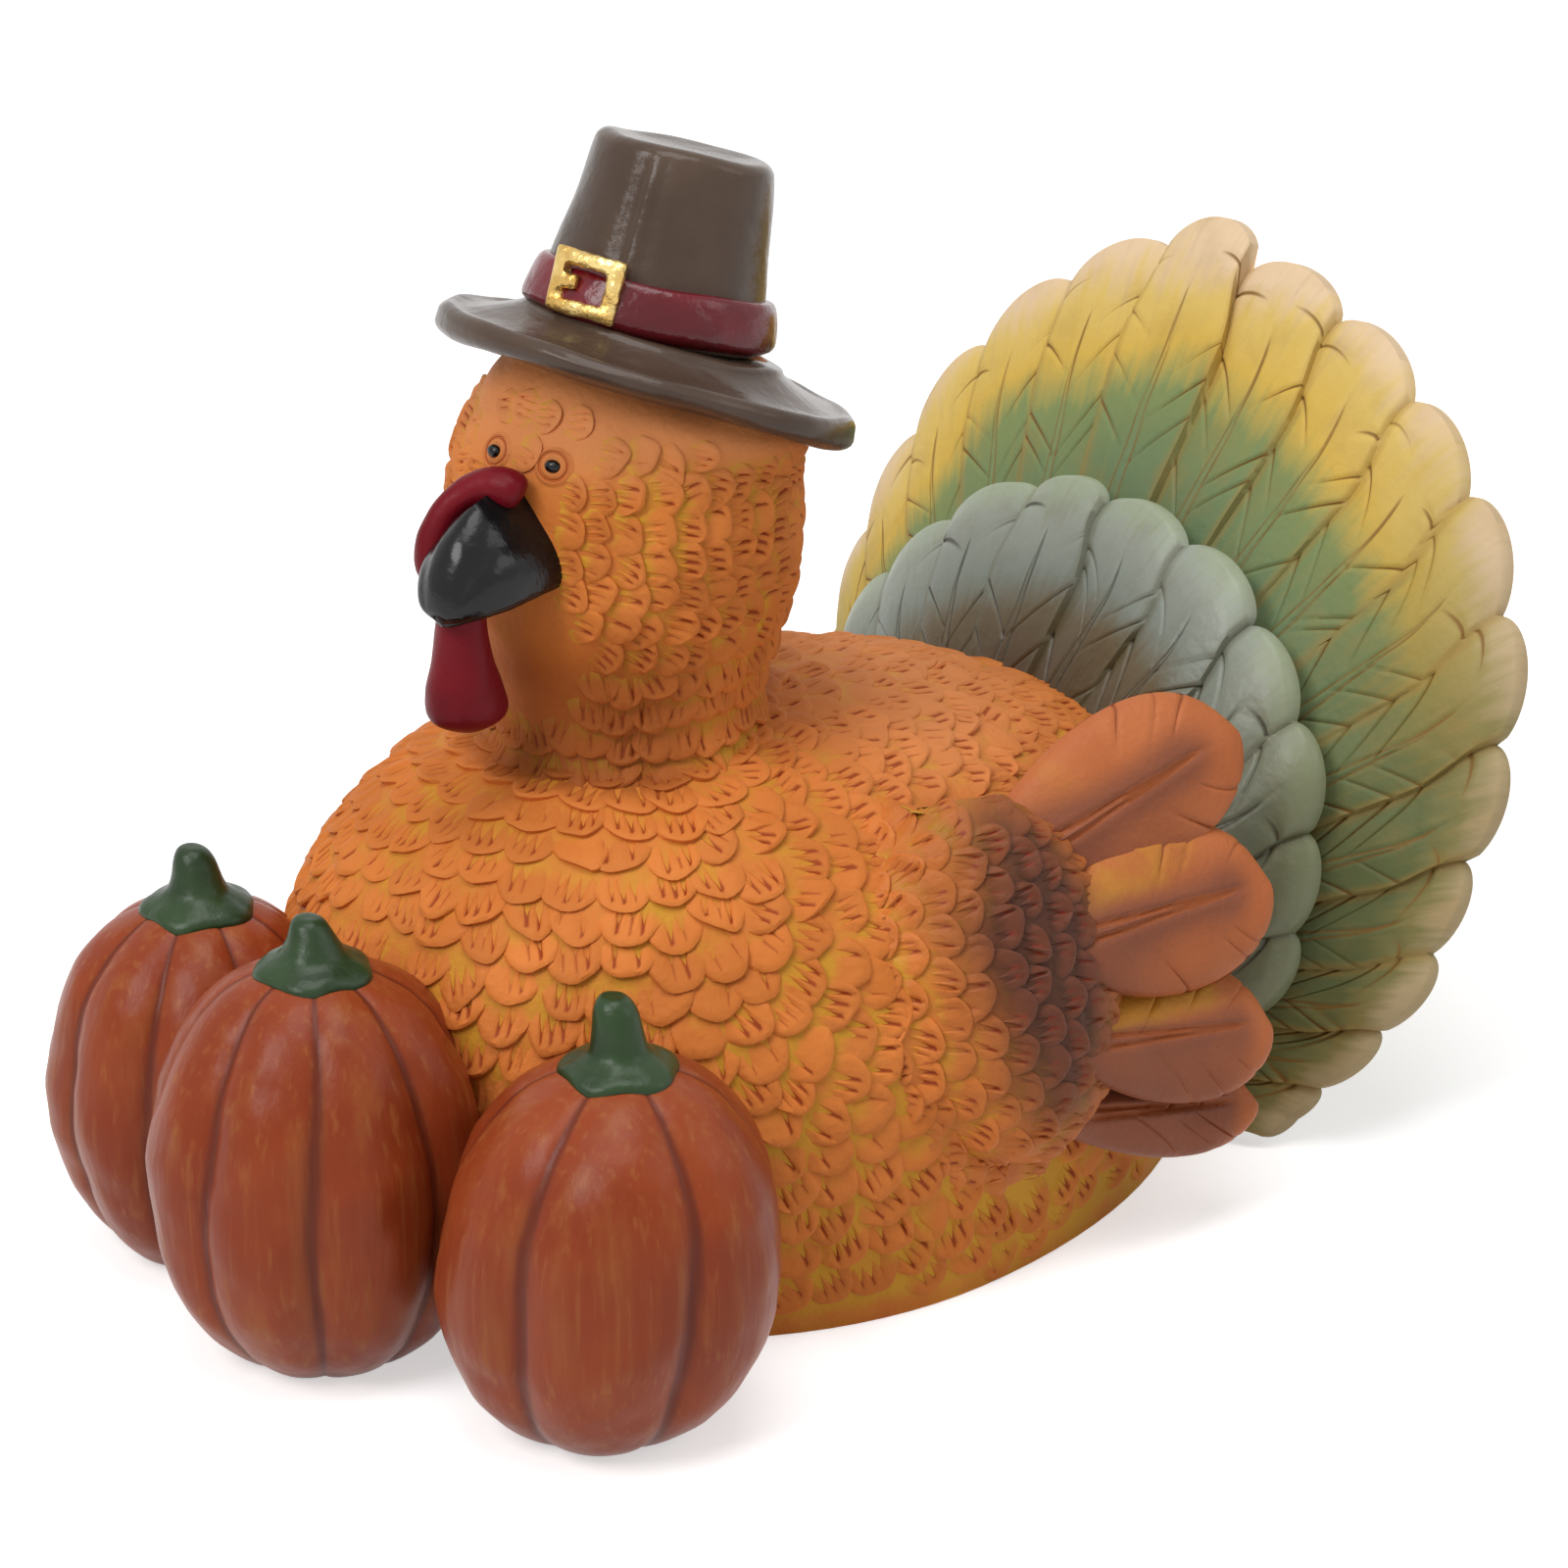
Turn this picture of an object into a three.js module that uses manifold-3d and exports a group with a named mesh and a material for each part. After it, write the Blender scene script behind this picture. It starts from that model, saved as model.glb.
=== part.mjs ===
// A hand-painted cast turkey figure: a bird with a buckled hat behind three pumpkins.
// Millimetres, +Z up. The bird looks along -Y and its left side is +X. The origin lies on the
// flat base, under the body. Each sculpted lump is its own casting, bonded to its neighbour.
import * as THREE from "three";
import { mergeVertices } from "three/addons/utils/BufferGeometryUtils.js";
import Module from "manifold-3d";

const wasm = await Module();
wasm.setup();

// Driving dimensions

const bondGap = 0.3; // glue line between neighbouring castings
const plungeDepth = 3; // how far a piece runs into its neighbour before it is cut to fit
const sliver = 0.02; // detail finer than this is dropped after a cut

const body = {
  neckY: -4.4, // the neck stands over this line
  middleY: 5.3, // the fullest ring is centred here
  shoulderHeight: 49.7,
  shoulderRadius: 4,
  reach: { front: 43.8, side: 36.9, back: 52 },
  fullHeight: { front: 26, side: 17.7, back: 23 },
  baseShare: { front: 0.86, side: 0.98, back: 0.985 }, // base outline against the fullest ring
  tuckAngle: 62, // degrees of arc between the fullest height and the base
};

// Heights on the head are measured from the top of the shoulder
const head = {
  y: -6,
  turn: 10, // degrees, towards the bird's left
  neckRadius: 13,
  neckRise: 1.8,
  fullRadius: 16.2,
  fullRise: 15.8,
  browRadius: 15.2,
  browRise: 26.7,
  topRadius: 9.5,
  topRise: 35.8, // inside the hat
};

// Heights on the face are measured from the root of the beak
const beak = { rootRise: 21.7, halfWidth: 5.3, halfDepth: 4.4, hook: 6.4, reach: 6.6, arch: 0.6 };
const lowerBeak = { drop: 4.4, halfWidth: 4.6, halfDepth: 1.9, shortfall: 2.2, sag: 0.6 };
const eye = { spacing: 6.5, rise: 6, halfWidth: 0.75, halfHeight: 1.05, halfDepth: 0.9 };
const snood = { rise: 4, halfWidth: 2.1, halfDepth: 1.9, hang: 8.4, swing: 4, shortfall: 2.4 };
const wattle = { drop: 5.4, length: 12.8, forward: 1.9, halfWidth: 3.7, halfDepth: 5.3 };

const hat = {
  x: 0.2,
  y: -3.4,
  sink: 4.1, // brim below the top of the head
  lean: 18, // degrees, backwards
  brimRadius: 19.4,
  brimEdge: 0.7, // half the thickness of the rim
  brimRise: 3.4,
  brimDrop: 1.7,
  seatRadius: 13.8,
  crownFoot: 10.5,
  crownTop: 8.1,
  crownHeight: 16.8,
  crownRounding: 1.3,
};

const band = { height: 4.4, thickness: 1.0, lift: 0.4 };
const buckle = { width: 6.9, height: 5.8, rim: 1.3, depth: 1.5, turn: 14, lift: 0.9, prongWidth: 1.1 };

const wing = {
  x: 33,
  y: 8,
  height: 26,
  flare: 10, // degrees, feather tips away from the body
  lean: 20, // degrees, upper edge over the back
  covertsAt: [0, 1.5, 1],
  covertsHalf: [7, 12.5, 15.5],
};
// Flight feathers from the top down, each from root to tip as [out, back, up] from the wing's middle
const flightFeathers = [
  { root: [2.6, 4, 12.5], tip: [1.8, 31.5, 18], width: 15.5 },
  { root: [4, 4, 4.5], tip: [2.2, 31, 3.5], width: 15.5 },
  { root: [3, 5, -5], tip: [0.5, 28.6, -9.6], width: 13 },
  { root: [0, 4, -11.5], tip: [-2.5, 27, -16.8], width: 9 },
];
const flightFeather = { thickness: 3, crown: 1.1, rootShare: 0.45, shoulderShare: 0.6, tipShare: 0.985 };

const outerFan = {
  inset: 6.7, // root line forward of the rump
  lean: 19.5, // degrees, backwards
  centreHeight: 32.5,
  halfWidth: 46,
  halfHeight: 49.2,
  rootHeight: 5.7, // the quills point to this height
  rootShare: 0.36, // the feathers begin at this share of their length
  lowReach: 36, // no feather is shorter than this
  feathers: 20,
  pitch: 10.2, // degrees between neighbouring feathers
  dish: 18, // how far in front of the tips the quills would meet
  rootThickness: 5,
  tipThickness: 2,
  cup: 14, // how far the lowest feathers come forward
  cupFrom: 72, // degrees from upright where they begin to
};
const innerFan = {
  inset: 13.9,
  lean: 14,
  centreHeight: 25.7,
  halfWidth: 34.2,
  halfHeight: 31.7,
  rootHeight: 10,
  rootShare: 0.25,
  lowReach: 0,
  feathers: 12,
  pitch: 14.3,
  dish: 19.6,
  rootThickness: 2,
  tipThickness: 2,
  cup: 0,
  cupFrom: 90,
};
const featherRelief = { crown: 1.2, quill: 0.5, notch: 0.07, overlap: 0.9 };

const pumpkinForm = { ribDepth: 0.1, ribSharpness: 0.6, fullness: 0.86, footShare: 0.045 };
const pumpkins = [
  {
    side: "left",
    at: [31.1, -36.7],
    radius: 15.5,
    height: 34.2,
    lobes: 6,
    groove: 20, // degrees to the first groove
    lean: [1.3, 1.4], // top away from foot
    stemHeight: 6.1,
  },
  {
    side: "middle",
    at: [3.9, -45.9],
    radius: 15.5,
    height: 37.4,
    lobes: 8,
    groove: 6, // degrees to the first groove
    lean: [0, 0], // top away from foot
    stemHeight: 4.2,
  },
  {
    side: "right",
    at: [-19.6, -40.8],
    radius: 14.2,
    height: 34.4,
    lobes: 8,
    groove: 30, // degrees to the first groove
    lean: [0, 0], // top away from foot
    stemHeight: 5,
  },
];
const stem = { flange: 5.3, foot: 3, top: 2, sink: 2.2, rim: 0.3, waves: 5, waveDepth: 0.13, bend: 0.9 };

// Painted finishes

function paint(color, roughness, metalness = 0) {
  return new THREE.MeshStandardMaterial({ color, roughness, metalness });
}
const finishes = {
  plumage: paint(0xdd8336, 0.62),
  black: paint(0x1d1b1c, 0.35),
  wattle: paint(0x7d1224, 0.42),
  hat: paint(0x5a4c41, 0.38),
  band: paint(0x741320, 0.32),
  gold: paint(0xcfa24a, 0.3, 0.85),
  coverts: paint(0x8a5138, 0.6),
  flight: paint(0xc9744a, 0.6),
  outerTail: paint(0x93995c, 0.62),
  innerTail: paint(0x7f8a7e, 0.55),
  pumpkin: paint(0xa9502f, 0.42),
  stem: paint(0x3c6a3c, 0.38),
};

// Shared operations

const rad = THREE.MathUtils.degToRad;
const lerp = THREE.MathUtils.lerp;

function steps(count, make) {
  return Array.from({ length: count }, (unused, i) => make(i));
}

// A closed surface from vertices and triangles, turned to face out.
function skin(points, triangles) {
  const geometry = new THREE.BufferGeometry().setFromPoints(points);
  let volume = 0;
  for (let i = 0; i < triangles.length; i += 3) {
    const [a, b, c] = [points[triangles[i]], points[triangles[i + 1]], points[triangles[i + 2]]];
    volume += a.dot(new THREE.Vector3().crossVectors(b, c));
  }
  geometry.setIndex(volume < 0 ? triangles.reverse() : triangles);
  return geometry;
}

// A skin over rings of equal length. A ring of one point is a pole; other end rings get a flat cap.
function loft(rings) {
  const points = [];
  const starts = rings.map((ring) => points.push(...ring) - ring.length);
  const triangles = [];
  const sides = Math.max(...rings.map((ring) => ring.length));
  const at = (r, i) => starts[r] + (rings[r].length === 1 ? 0 : i % sides);
  for (let r = 0; r + 1 < rings.length; r++) {
    for (let i = 0; i < sides; i++) {
      const [a, b, c, d] = [at(r, i), at(r, i + 1), at(r + 1, i + 1), at(r + 1, i)];
      if (a !== b) triangles.push(a, b, c);
      if (c !== d) triangles.push(a, c, d);
    }
  }
  for (const end of [0, rings.length - 1]) {
    const ring = rings[end];
    if (ring.length === 1) continue;
    const middle = ring.reduce((sum, p) => sum.add(p), new THREE.Vector3()).divideScalar(sides);
    const centre = points.push(middle) - 1;
    for (let i = 0; i < sides; i++) {
      const [a, b] = [at(end, i), at(end, i + 1)];
      triangles.push(...(end ? [a, b, centre] : [b, a, centre]));
    }
  }
  return skin(points, triangles);
}

// A plate between a front and a back grid of points, closed round its rim.
function plate(front, back) {
  const [rows, columns] = [front.length, front[0].length];
  const points = [...front.flat(), ...back.flat()];
  const at = (side, r, c) => side * rows * columns + r * columns + c;
  const triangles = [];
  const quad = (a, b, c, d) => triangles.push(a, b, c, a, c, d);
  for (let r = 0; r + 1 < rows; r++) {
    for (let c = 0; c + 1 < columns; c++) {
      quad(at(0, r, c), at(0, r, c + 1), at(0, r + 1, c + 1), at(0, r + 1, c));
      quad(at(1, r, c), at(1, r + 1, c), at(1, r + 1, c + 1), at(1, r, c + 1));
    }
    quad(at(0, r, 0), at(0, r + 1, 0), at(1, r + 1, 0), at(1, r, 0));
    quad(at(0, r + 1, columns - 1), at(0, r, columns - 1), at(1, r, columns - 1), at(1, r + 1, columns - 1));
  }
  for (let c = 0; c + 1 < columns; c++) {
    quad(at(0, 0, c + 1), at(0, 0, c), at(1, 0, c), at(1, 0, c + 1));
    quad(at(0, rows - 1, c), at(0, rows - 1, c + 1), at(1, rows - 1, c + 1), at(1, rows - 1, c));
  }
  return skin(points, triangles);
}

// Elliptical rings strung on a curve, closed to a pole at each end.
function stringBlob(spine, halfWidth, halfDepth, sides, count) {
  const rings = steps(count + 1, (i) => {
    const t = i / count;
    const middle = spine.getPoint(t);
    if (i === 0 || i === count) return [middle];
    const run = spine.getTangent(t);
    const across = new THREE.Vector3(1, 0, 0).addScaledVector(run, -run.x).normalize();
    const through = new THREE.Vector3().crossVectors(run, across).normalize();
    return steps(sides, (k) => {
      const turn = (2 * Math.PI * k) / sides;
      const wide = across.clone().multiplyScalar(halfWidth(t) * Math.cos(turn));
      const deep = through.clone().multiplyScalar(halfDepth(t) * Math.sin(turn));
      return middle.clone().add(wide).add(deep);
    });
  });
  return loft(rings);
}

// A solid of revolution about +Z from a profile of [radius, height] pairs.
function revolve(profile, sides) {
  const outline = profile.map((p) => new THREE.Vector2(...p));
  return new THREE.LatheGeometry(outline, sides).rotateX(Math.PI / 2);
}

function curveThrough(...points) {
  return new THREE.CatmullRomCurve3(points.map((p) => new THREE.Vector3(...p)));
}

function positionsOnly(geometry) {
  const bare = new THREE.BufferGeometry().setAttribute("position", geometry.getAttribute("position").clone());
  bare.setIndex(geometry.index ? geometry.index.clone() : null);
  return mergeVertices(bare, 1e-4);
}

function solidOf(geometry) {
  const merged = positionsOnly(geometry);
  const mesh = { numProp: 3, vertProperties: merged.attributes.position.array };
  mesh.triVerts = new Uint32Array(merged.index.array);
  return new wasm.Manifold(new wasm.Mesh(mesh));
}

function geometryOf(solid) {
  const mesh = solid.getMesh();
  const geometry = new THREE.BufferGeometry();
  geometry.setAttribute("position", new THREE.BufferAttribute(new Float32Array(mesh.vertProperties), 3));
  geometry.setIndex(new THREE.BufferAttribute(new Uint32Array(mesh.triVerts), 1));
  return geometry;
}

// The same shape with its surface moved out by the glue line.
function swollen(geometry) {
  const grown = positionsOnly(geometry);
  grown.computeVertexNormals();
  const { position, normal } = grown.attributes;
  for (let i = 0; i < position.count; i++) {
    const out = new THREE.Vector3().fromBufferAttribute(normal, i).multiplyScalar(bondGap);
    position.setXYZ(i, position.getX(i) + out.x, position.getY(i) + out.y, position.getZ(i) + out.z);
  }
  return grown;
}

// Cuts a mesh back from its neighbours so that it beds against them with a glue line between.
function bed(mesh, ...neighbours) {
  figure.updateMatrixWorld(true);
  const toMesh = mesh.matrixWorld.clone().invert();
  let solid = solidOf(mesh.geometry);
  for (const neighbour of neighbours) {
    const tool = swollen(neighbour.geometry).applyMatrix4(neighbour.matrixWorld).applyMatrix4(toMesh);
    solid = solid.subtract(solidOf(tool));
  }
  const largest = solid.decompose().sort((a, b) => b.volume() - a.volume())[0];
  mesh.geometry = geometryOf(largest.simplify(sliver));
  return mesh;
}

// Takes away what lies below the surface that the figure stands on.
function standOnBase(mesh) {
  figure.updateMatrixWorld(true);
  const depth = 60;
  const ground = new THREE.BoxGeometry(400, 400, depth).translate(0, 0, -depth / 2);
  const toMesh = mesh.matrixWorld.clone().invert();
  const cut = solidOf(mesh.geometry).subtract(solidOf(ground.applyMatrix4(toMesh)));
  mesh.geometry = geometryOf(cut);
  return mesh;
}

function place(parent, name, geometry, finish) {
  const mesh = new THREE.Mesh(geometry, finish);
  mesh.name = name;
  parent.add(mesh);
  return mesh;
}

const figure = new THREE.Group();

// Body: meridians fall from the neck, swell to the fullest ring and tuck in to the flat base

function bodyBlend(sizes, angle) {
  const ahead = Math.cos(angle);
  const end = ahead > 0 ? sizes.front : sizes.back;
  return lerp(sizes.side, end, ahead * ahead);
}

function bodyPoint(share, angle) {
  const full = bodyBlend(body.fullHeight, angle);
  const last = rad(body.tuckAngle);
  const upper = share <= 0.5;
  const arc = upper ? share * Math.PI : (share - 0.5) * 2 * last;
  const spread = upper ? Math.sin(arc) : 1;
  const tuck = upper ? 0 : (1 - Math.cos(arc)) / (1 - Math.cos(last));
  const height = upper
    ? lerp(full, body.shoulderHeight, Math.cos(arc))
    : full * (1 - Math.sin(arc) / Math.sin(last));
  const along = Math.cos(angle) > 0 ? body.reach.front : body.reach.back;
  const scale = lerp(1, bodyBlend(body.baseShare, angle), tuck);
  const x = lerp(body.shoulderRadius, body.reach.side, spread) * scale * Math.sin(angle);
  const centre = lerp(body.neckY, body.middleY, spread);
  const y = centre - lerp(body.shoulderRadius, along, spread) * scale * Math.cos(angle);
  return new THREE.Vector3(x, y, height);
}

const bodySides = 36;
const bodyRows = 14;
const bodyRings = steps(bodyRows + 1, (r) =>
  steps(bodySides, (i) => bodyPoint(r / bodyRows, (2 * Math.PI * i) / bodySides)),
);
const bodyMesh = place(figure, "body", loft(bodyRings), finishes.plumage);

// Hat: a leaning group whose own origin is the middle of the brim

const hatGroup = new THREE.Group();
hatGroup.position.set(hat.x, hat.y, body.shoulderHeight + head.topRise - hat.sink);
hatGroup.rotation.x = -rad(hat.lean);
figure.add(hatGroup);

const roundSides = 28;
const crownBase = hat.brimRise + bondGap;

function crownRadius(height) {
  return lerp(hat.crownFoot, hat.crownTop, (height - crownBase) / hat.crownHeight);
}

const brimProfile = [
  [0, -hat.brimDrop],
  [hat.seatRadius, -hat.brimDrop],
  [hat.brimRadius - hat.brimEdge, -hat.brimEdge],
  [hat.brimRadius, 0],
  [hat.brimRadius - hat.brimEdge, hat.brimEdge],
  [lerp(hat.crownFoot, hat.brimRadius, 0.45), hat.brimRise * 0.5],
  [hat.crownFoot + band.thickness + bondGap, hat.brimRise],
  [0, hat.brimRise],
];
const brimMesh = place(hatGroup, "hat_brim", revolve(brimProfile, roundSides), finishes.hat);

const crownRim = crownBase + hat.crownHeight;
const crownProfile = [
  [0, crownBase],
  [crownRadius(crownBase), crownBase],
  [crownRadius(crownBase + band.lift + band.height), crownBase + band.lift + band.height],
  [crownRadius(crownRim - hat.crownRounding), crownRim - hat.crownRounding],
  [hat.crownTop - hat.crownRounding * 0.3, crownRim - hat.crownRounding * 0.3],
  [hat.crownTop - hat.crownRounding, crownRim],
  [0, crownRim],
];
const crownMesh = place(hatGroup, "hat_crown", revolve(crownProfile, roundSides), finishes.hat);

const bandFoot = crownBase + band.lift;
const bandTop = bandFoot + band.height;
const bandInner = [
  [crownRadius(bandTop) + bondGap, bandTop],
  [crownRadius(bandFoot) + bondGap, bandFoot],
];
const bandProfile = [
  ...bandInner,
  [crownRadius(bandFoot) + band.thickness * 0.7, bandFoot],
  [crownRadius(bandFoot) + bondGap + band.thickness, bandFoot + band.height * 0.15],
  [crownRadius(bandTop) + bondGap + band.thickness, bandTop - band.height * 0.15],
  [crownRadius(bandTop) + band.thickness * 0.7, bandTop],
  bandInner[0],
];
const bandMesh = place(hatGroup, "hat_band", revolve(bandProfile, roundSides), finishes.band);

// The buckle is a frame with a prong across its window, set on the front of the band.
function buckleShape() {
  const outline = new THREE.Shape();
  const [w, h] = [buckle.width / 2, buckle.height / 2];
  outline.moveTo(-w, -h).lineTo(w, -h).lineTo(w, h).lineTo(-w, h).closePath();
  const [inW, inH, prong] = [w - buckle.rim, h - buckle.rim, buckle.prongWidth / 2];
  for (const [low, high] of [[-inH, -prong], [prong, inH]]) {
    const window = new THREE.Path();
    window.moveTo(-inW, low).lineTo(-inW, high).lineTo(inW, high).lineTo(inW, low).closePath();
    outline.holes.push(window);
  }
  return outline;
}

const bandMiddle = (bandFoot + bandTop) / 2;
const crownSlope = Math.atan2(hat.crownFoot - hat.crownTop, hat.crownHeight);
const buckleRadius = crownRadius(bandMiddle) + bondGap + band.thickness - buckle.depth * 0.3;
const buckleGroup = new THREE.Group();
buckleGroup.rotation.z = rad(buckle.turn);
hatGroup.add(buckleGroup);
const buckleSolid = new THREE.ExtrudeGeometry(buckleShape(), { depth: buckle.depth, bevelEnabled: false })
  .rotateX(Math.PI / 2 - crownSlope)
  .translate(0, -buckleRadius, bandMiddle + buckle.lift);
const buckleMesh = place(buckleGroup, "hat_buckle", buckleSolid, finishes.gold);
bed(buckleMesh, bandMesh, crownMesh, brimMesh);

// Head and neck, revolved about the neck line and turned to look aside; the hat sits over its top

const headGroup = new THREE.Group();
headGroup.position.set(0, head.y, body.shoulderHeight);
headGroup.rotation.z = rad(head.turn);
figure.add(headGroup);

function headProfile() {
  const foot = head.neckRise - plungeDepth * 1.5;
  const outline = [
    [head.neckRadius + plungeDepth * 0.5, foot],
    [head.neckRadius, head.neckRise],
    [head.fullRadius, head.fullRise],
    [head.browRadius, head.browRise],
    [head.topRadius, head.topRise],
  ];
  const curve = new THREE.SplineCurve(outline.map((p) => new THREE.Vector2(...p)));
  const points = curve.getPoints(12).map((p) => [p.x, p.y]);
  return [[0, foot], ...points, [0, head.topRise]];
}

function headRadius(rise) {
  const outline = headProfile();
  const above = outline.findIndex((p, i) => i > 1 && p[1] >= rise);
  const [low, high] = [outline[above - 1], outline[above]];
  return lerp(low[0], high[0], (rise - low[1]) / (high[1] - low[1]));
}

const headMesh = place(headGroup, "head", revolve(headProfile(), 26), finishes.plumage);
bed(headMesh, bodyMesh, brimMesh);

const beakSides = 14;
const root = beak.rootRise;
const beakTip = headRadius(root) + beak.reach;
const beakSpine = curveThrough(
  [0, -headRadius(root) + plungeDepth, root],
  [0, -lerp(headRadius(root), beakTip, 0.3), root],
  [0, -lerp(headRadius(root), beakTip, 0.6), root - beak.hook * 0.2],
  [0, -beakTip, root - beak.hook * 0.6],
  [0, -beakTip - beak.arch, root - beak.hook],
);
const beakMesh = place(
  headGroup,
  "beak_upper",
  stringBlob(
    beakSpine,
    (t) => beak.halfWidth * Math.sqrt(1 - t ** 2.4) * Math.min(1, 0.75 + t),
    (t) => beak.halfDepth * Math.sqrt(1 - t ** 3) * Math.min(1, 0.8 + t),
    beakSides,
    10,
  ),
  finishes.black,
);
bed(beakMesh, headMesh);

const jaw = root - lowerBeak.drop;
const jawSpine = curveThrough(
  [0, -headRadius(jaw) + plungeDepth, jaw],
  [0, -lerp(headRadius(jaw), beakTip - lowerBeak.shortfall, 0.45), jaw - lowerBeak.sag * 0.3],
  [0, -beakTip + lowerBeak.shortfall, jaw - lowerBeak.sag],
);
const jawMesh = place(
  headGroup,
  "beak_lower",
  stringBlob(
    jawSpine,
    (t) => lowerBeak.halfWidth * Math.sqrt(1 - t ** 2.5),
    (t) => lowerBeak.halfDepth * Math.sqrt(1 - t ** 3),
    beakSides,
    8,
  ),
  finishes.black,
);
bed(jawMesh, headMesh, beakMesh);

const brow = root + snood.rise;
const snoodReach = beakTip - snood.shortfall;
const snoodSpine = curveThrough(
  [snood.halfWidth * 0.5, -headRadius(brow) + plungeDepth * 0.5, brow + snood.halfDepth * 0.2],
  [-snood.swing * 0.4, -lerp(headRadius(brow), snoodReach, 0.5), brow + snood.halfDepth * 0.4],
  [-snood.swing * 0.8, -snoodReach + snood.halfDepth * 0.5, brow - snood.hang * 0.25],
  [-snood.swing, -snoodReach - snood.halfDepth * 0.3, brow - snood.hang * 0.6],
  [-snood.swing, -snoodReach, brow - snood.hang],
);
const roundedEnds = (t) => Math.sqrt(1 - (2 * t - 1) ** 6);
const snoodMesh = place(
  headGroup,
  "snood",
  stringBlob(
    snoodSpine,
    (t) => snood.halfWidth * roundedEnds(t),
    (t) => snood.halfDepth * roundedEnds(t),
    12,
    10,
  ),
  finishes.wattle,
);
bed(snoodMesh, headMesh, beakMesh);

const throat = root - wattle.drop;
const wattleReach = beakTip - wattle.forward;
const wattleSpine = curveThrough(
  [0, -wattleReach + wattle.halfDepth * 0.22, throat],
  [0, -wattleReach, throat - wattle.length * 0.5],
  [0, -wattleReach + wattle.halfDepth * 0.26, throat - wattle.length],
);
const wattleSwell = (t) => (0.62 + 0.38 * Math.sin(Math.PI * t ** 1.5)) * roundedEnds(t);
const wattleMesh = place(
  headGroup,
  "wattle",
  stringBlob(
    wattleSpine,
    (t) => wattle.halfWidth * wattleSwell(t),
    (t) => wattle.halfDepth * wattleSwell(t),
    14,
    10,
  ),
  finishes.wattle,
);
bed(wattleMesh, headMesh, jawMesh, beakMesh, bodyMesh);

const gaze = root + eye.rise;
for (const [side, sign] of [["left", 1], ["right", -1]]) {
  const eyeGroup = new THREE.Group();
  eyeGroup.rotation.z = sign * Math.asin(eye.spacing / 2 / headRadius(gaze));
  headGroup.add(eyeGroup);
  const bead = new THREE.SphereGeometry(1, 10, 6)
    .scale(eye.halfWidth, eye.halfDepth, eye.halfHeight)
    .translate(0, -headRadius(gaze) - eye.halfDepth * 0.2, gaze);
  bed(place(eyeGroup, `eye_${side}`, bead, finishes.black), headMesh, beakMesh, snoodMesh);
}

// Wings: a lump of coverts on each flank, with four flight feathers spread from under it

// One feather lying along +Y with its face to +X, made as a grid with a domed face and raised quill.
function flightFeatherGeometry(feather) {
  const root = new THREE.Vector3(...feather.root);
  const tip = new THREE.Vector3(...feather.tip);
  const run = tip.clone().sub(root);
  const length = run.length();
  const ahead = run.normalize();
  const out = new THREE.Vector3(1, 0, 0).addScaledVector(ahead, -ahead.x).normalize();
  const across = new THREE.Vector3().crossVectors(out, ahead);
  const rows = steps(7, (i) => flightFeather.tipShare * Math.sin((i / 6) * (Math.PI / 2)) ** 0.9);
  const columns = [-1, -0.55, -0.12, 0.12, 0.55, 1];
  const widthAt = (t) => {
    const { shoulderShare, rootShare } = flightFeather;
    if (t < shoulderShare) return lerp(rootShare, 1, Math.sin((t / shoulderShare) * (Math.PI / 2)));
    return Math.sqrt(1 - ((t - shoulderShare) / (1 - shoulderShare)) ** 2);
  };
  const grid = (lift) =>
    rows.map((t) =>
      columns.map((c) =>
        root
          .clone()
          .addScaledVector(ahead, t * length)
          .addScaledVector(across, (c * widthAt(t) * feather.width) / 2)
          .addScaledVector(out, lift(c, t)),
      ),
    );
  const quill = (c) => (Math.abs(c) < 0.2 ? featherRelief.quill : 0);
  const face = (c) => flightFeather.crown * (1 - c * c) + quill(c) + flightFeather.thickness / 2;
  return plate(grid(face), grid(() => -flightFeather.thickness / 2));
}

function mirrored(geometry) {
  const flipped = geometry.clone().scale(-1, 1, 1);
  const order = Array.from(flipped.index.array).reverse();
  flipped.setIndex(order);
  return flipped;
}

const wingGroup = new THREE.Group();
wingGroup.position.set(wing.x, wing.y, wing.height);
wingGroup.rotation.set(0, -rad(wing.lean), -rad(wing.flare));
figure.add(wingGroup);
const covertsBlob = positionsOnly(new THREE.SphereGeometry(1, 20, 12))
  .scale(...wing.covertsHalf)
  .translate(...wing.covertsAt);
const covertsMesh = place(wingGroup, "wing_left_coverts", covertsBlob, finishes.coverts);
bed(covertsMesh, bodyMesh);
const leftWing = [covertsMesh];
flightFeathers.forEach((feather, i) => {
  const name = `wing_left_feather_${i + 1}`;
  const mesh = place(wingGroup, name, flightFeatherGeometry(feather), finishes.flight);
  leftWing.push(standOnBase(bed(mesh, bodyMesh, ...leftWing)));
});

const rightWingGroup = new THREE.Group();
rightWingGroup.position.set(-wing.x, wing.y, wing.height);
rightWingGroup.rotation.set(0, rad(wing.lean), rad(wing.flare));
figure.add(rightWingGroup);
for (const mesh of leftWing) {
  place(rightWingGroup, mesh.name.replace("left", "right"), mirrored(mesh.geometry), mesh.material);
}

// Tail fans: dished, the feathers spread from a root inside the rump, the middle ones over those to the sides

const featherColumns = [-0.5, -0.27, -0.08, 0.08, 0.27];
const fanRows = 4;

// Distance from the root to the edge of the fan's oval, at an angle from upright.
function fanReach(fan, angle) {
  const rise = fan.rootHeight - fan.centreHeight;
  const [a, b] = [Math.sin(angle) / fan.halfWidth, Math.cos(angle) / fan.halfHeight];
  const along = (rise / fan.halfHeight) * b;
  const square = a * a + b * b;
  const rest = (rise / fan.halfHeight) ** 2 - 1;
  return Math.max(fan.lowReach, (-along + Math.sqrt(along * along - square * rest)) / square);
}

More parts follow.
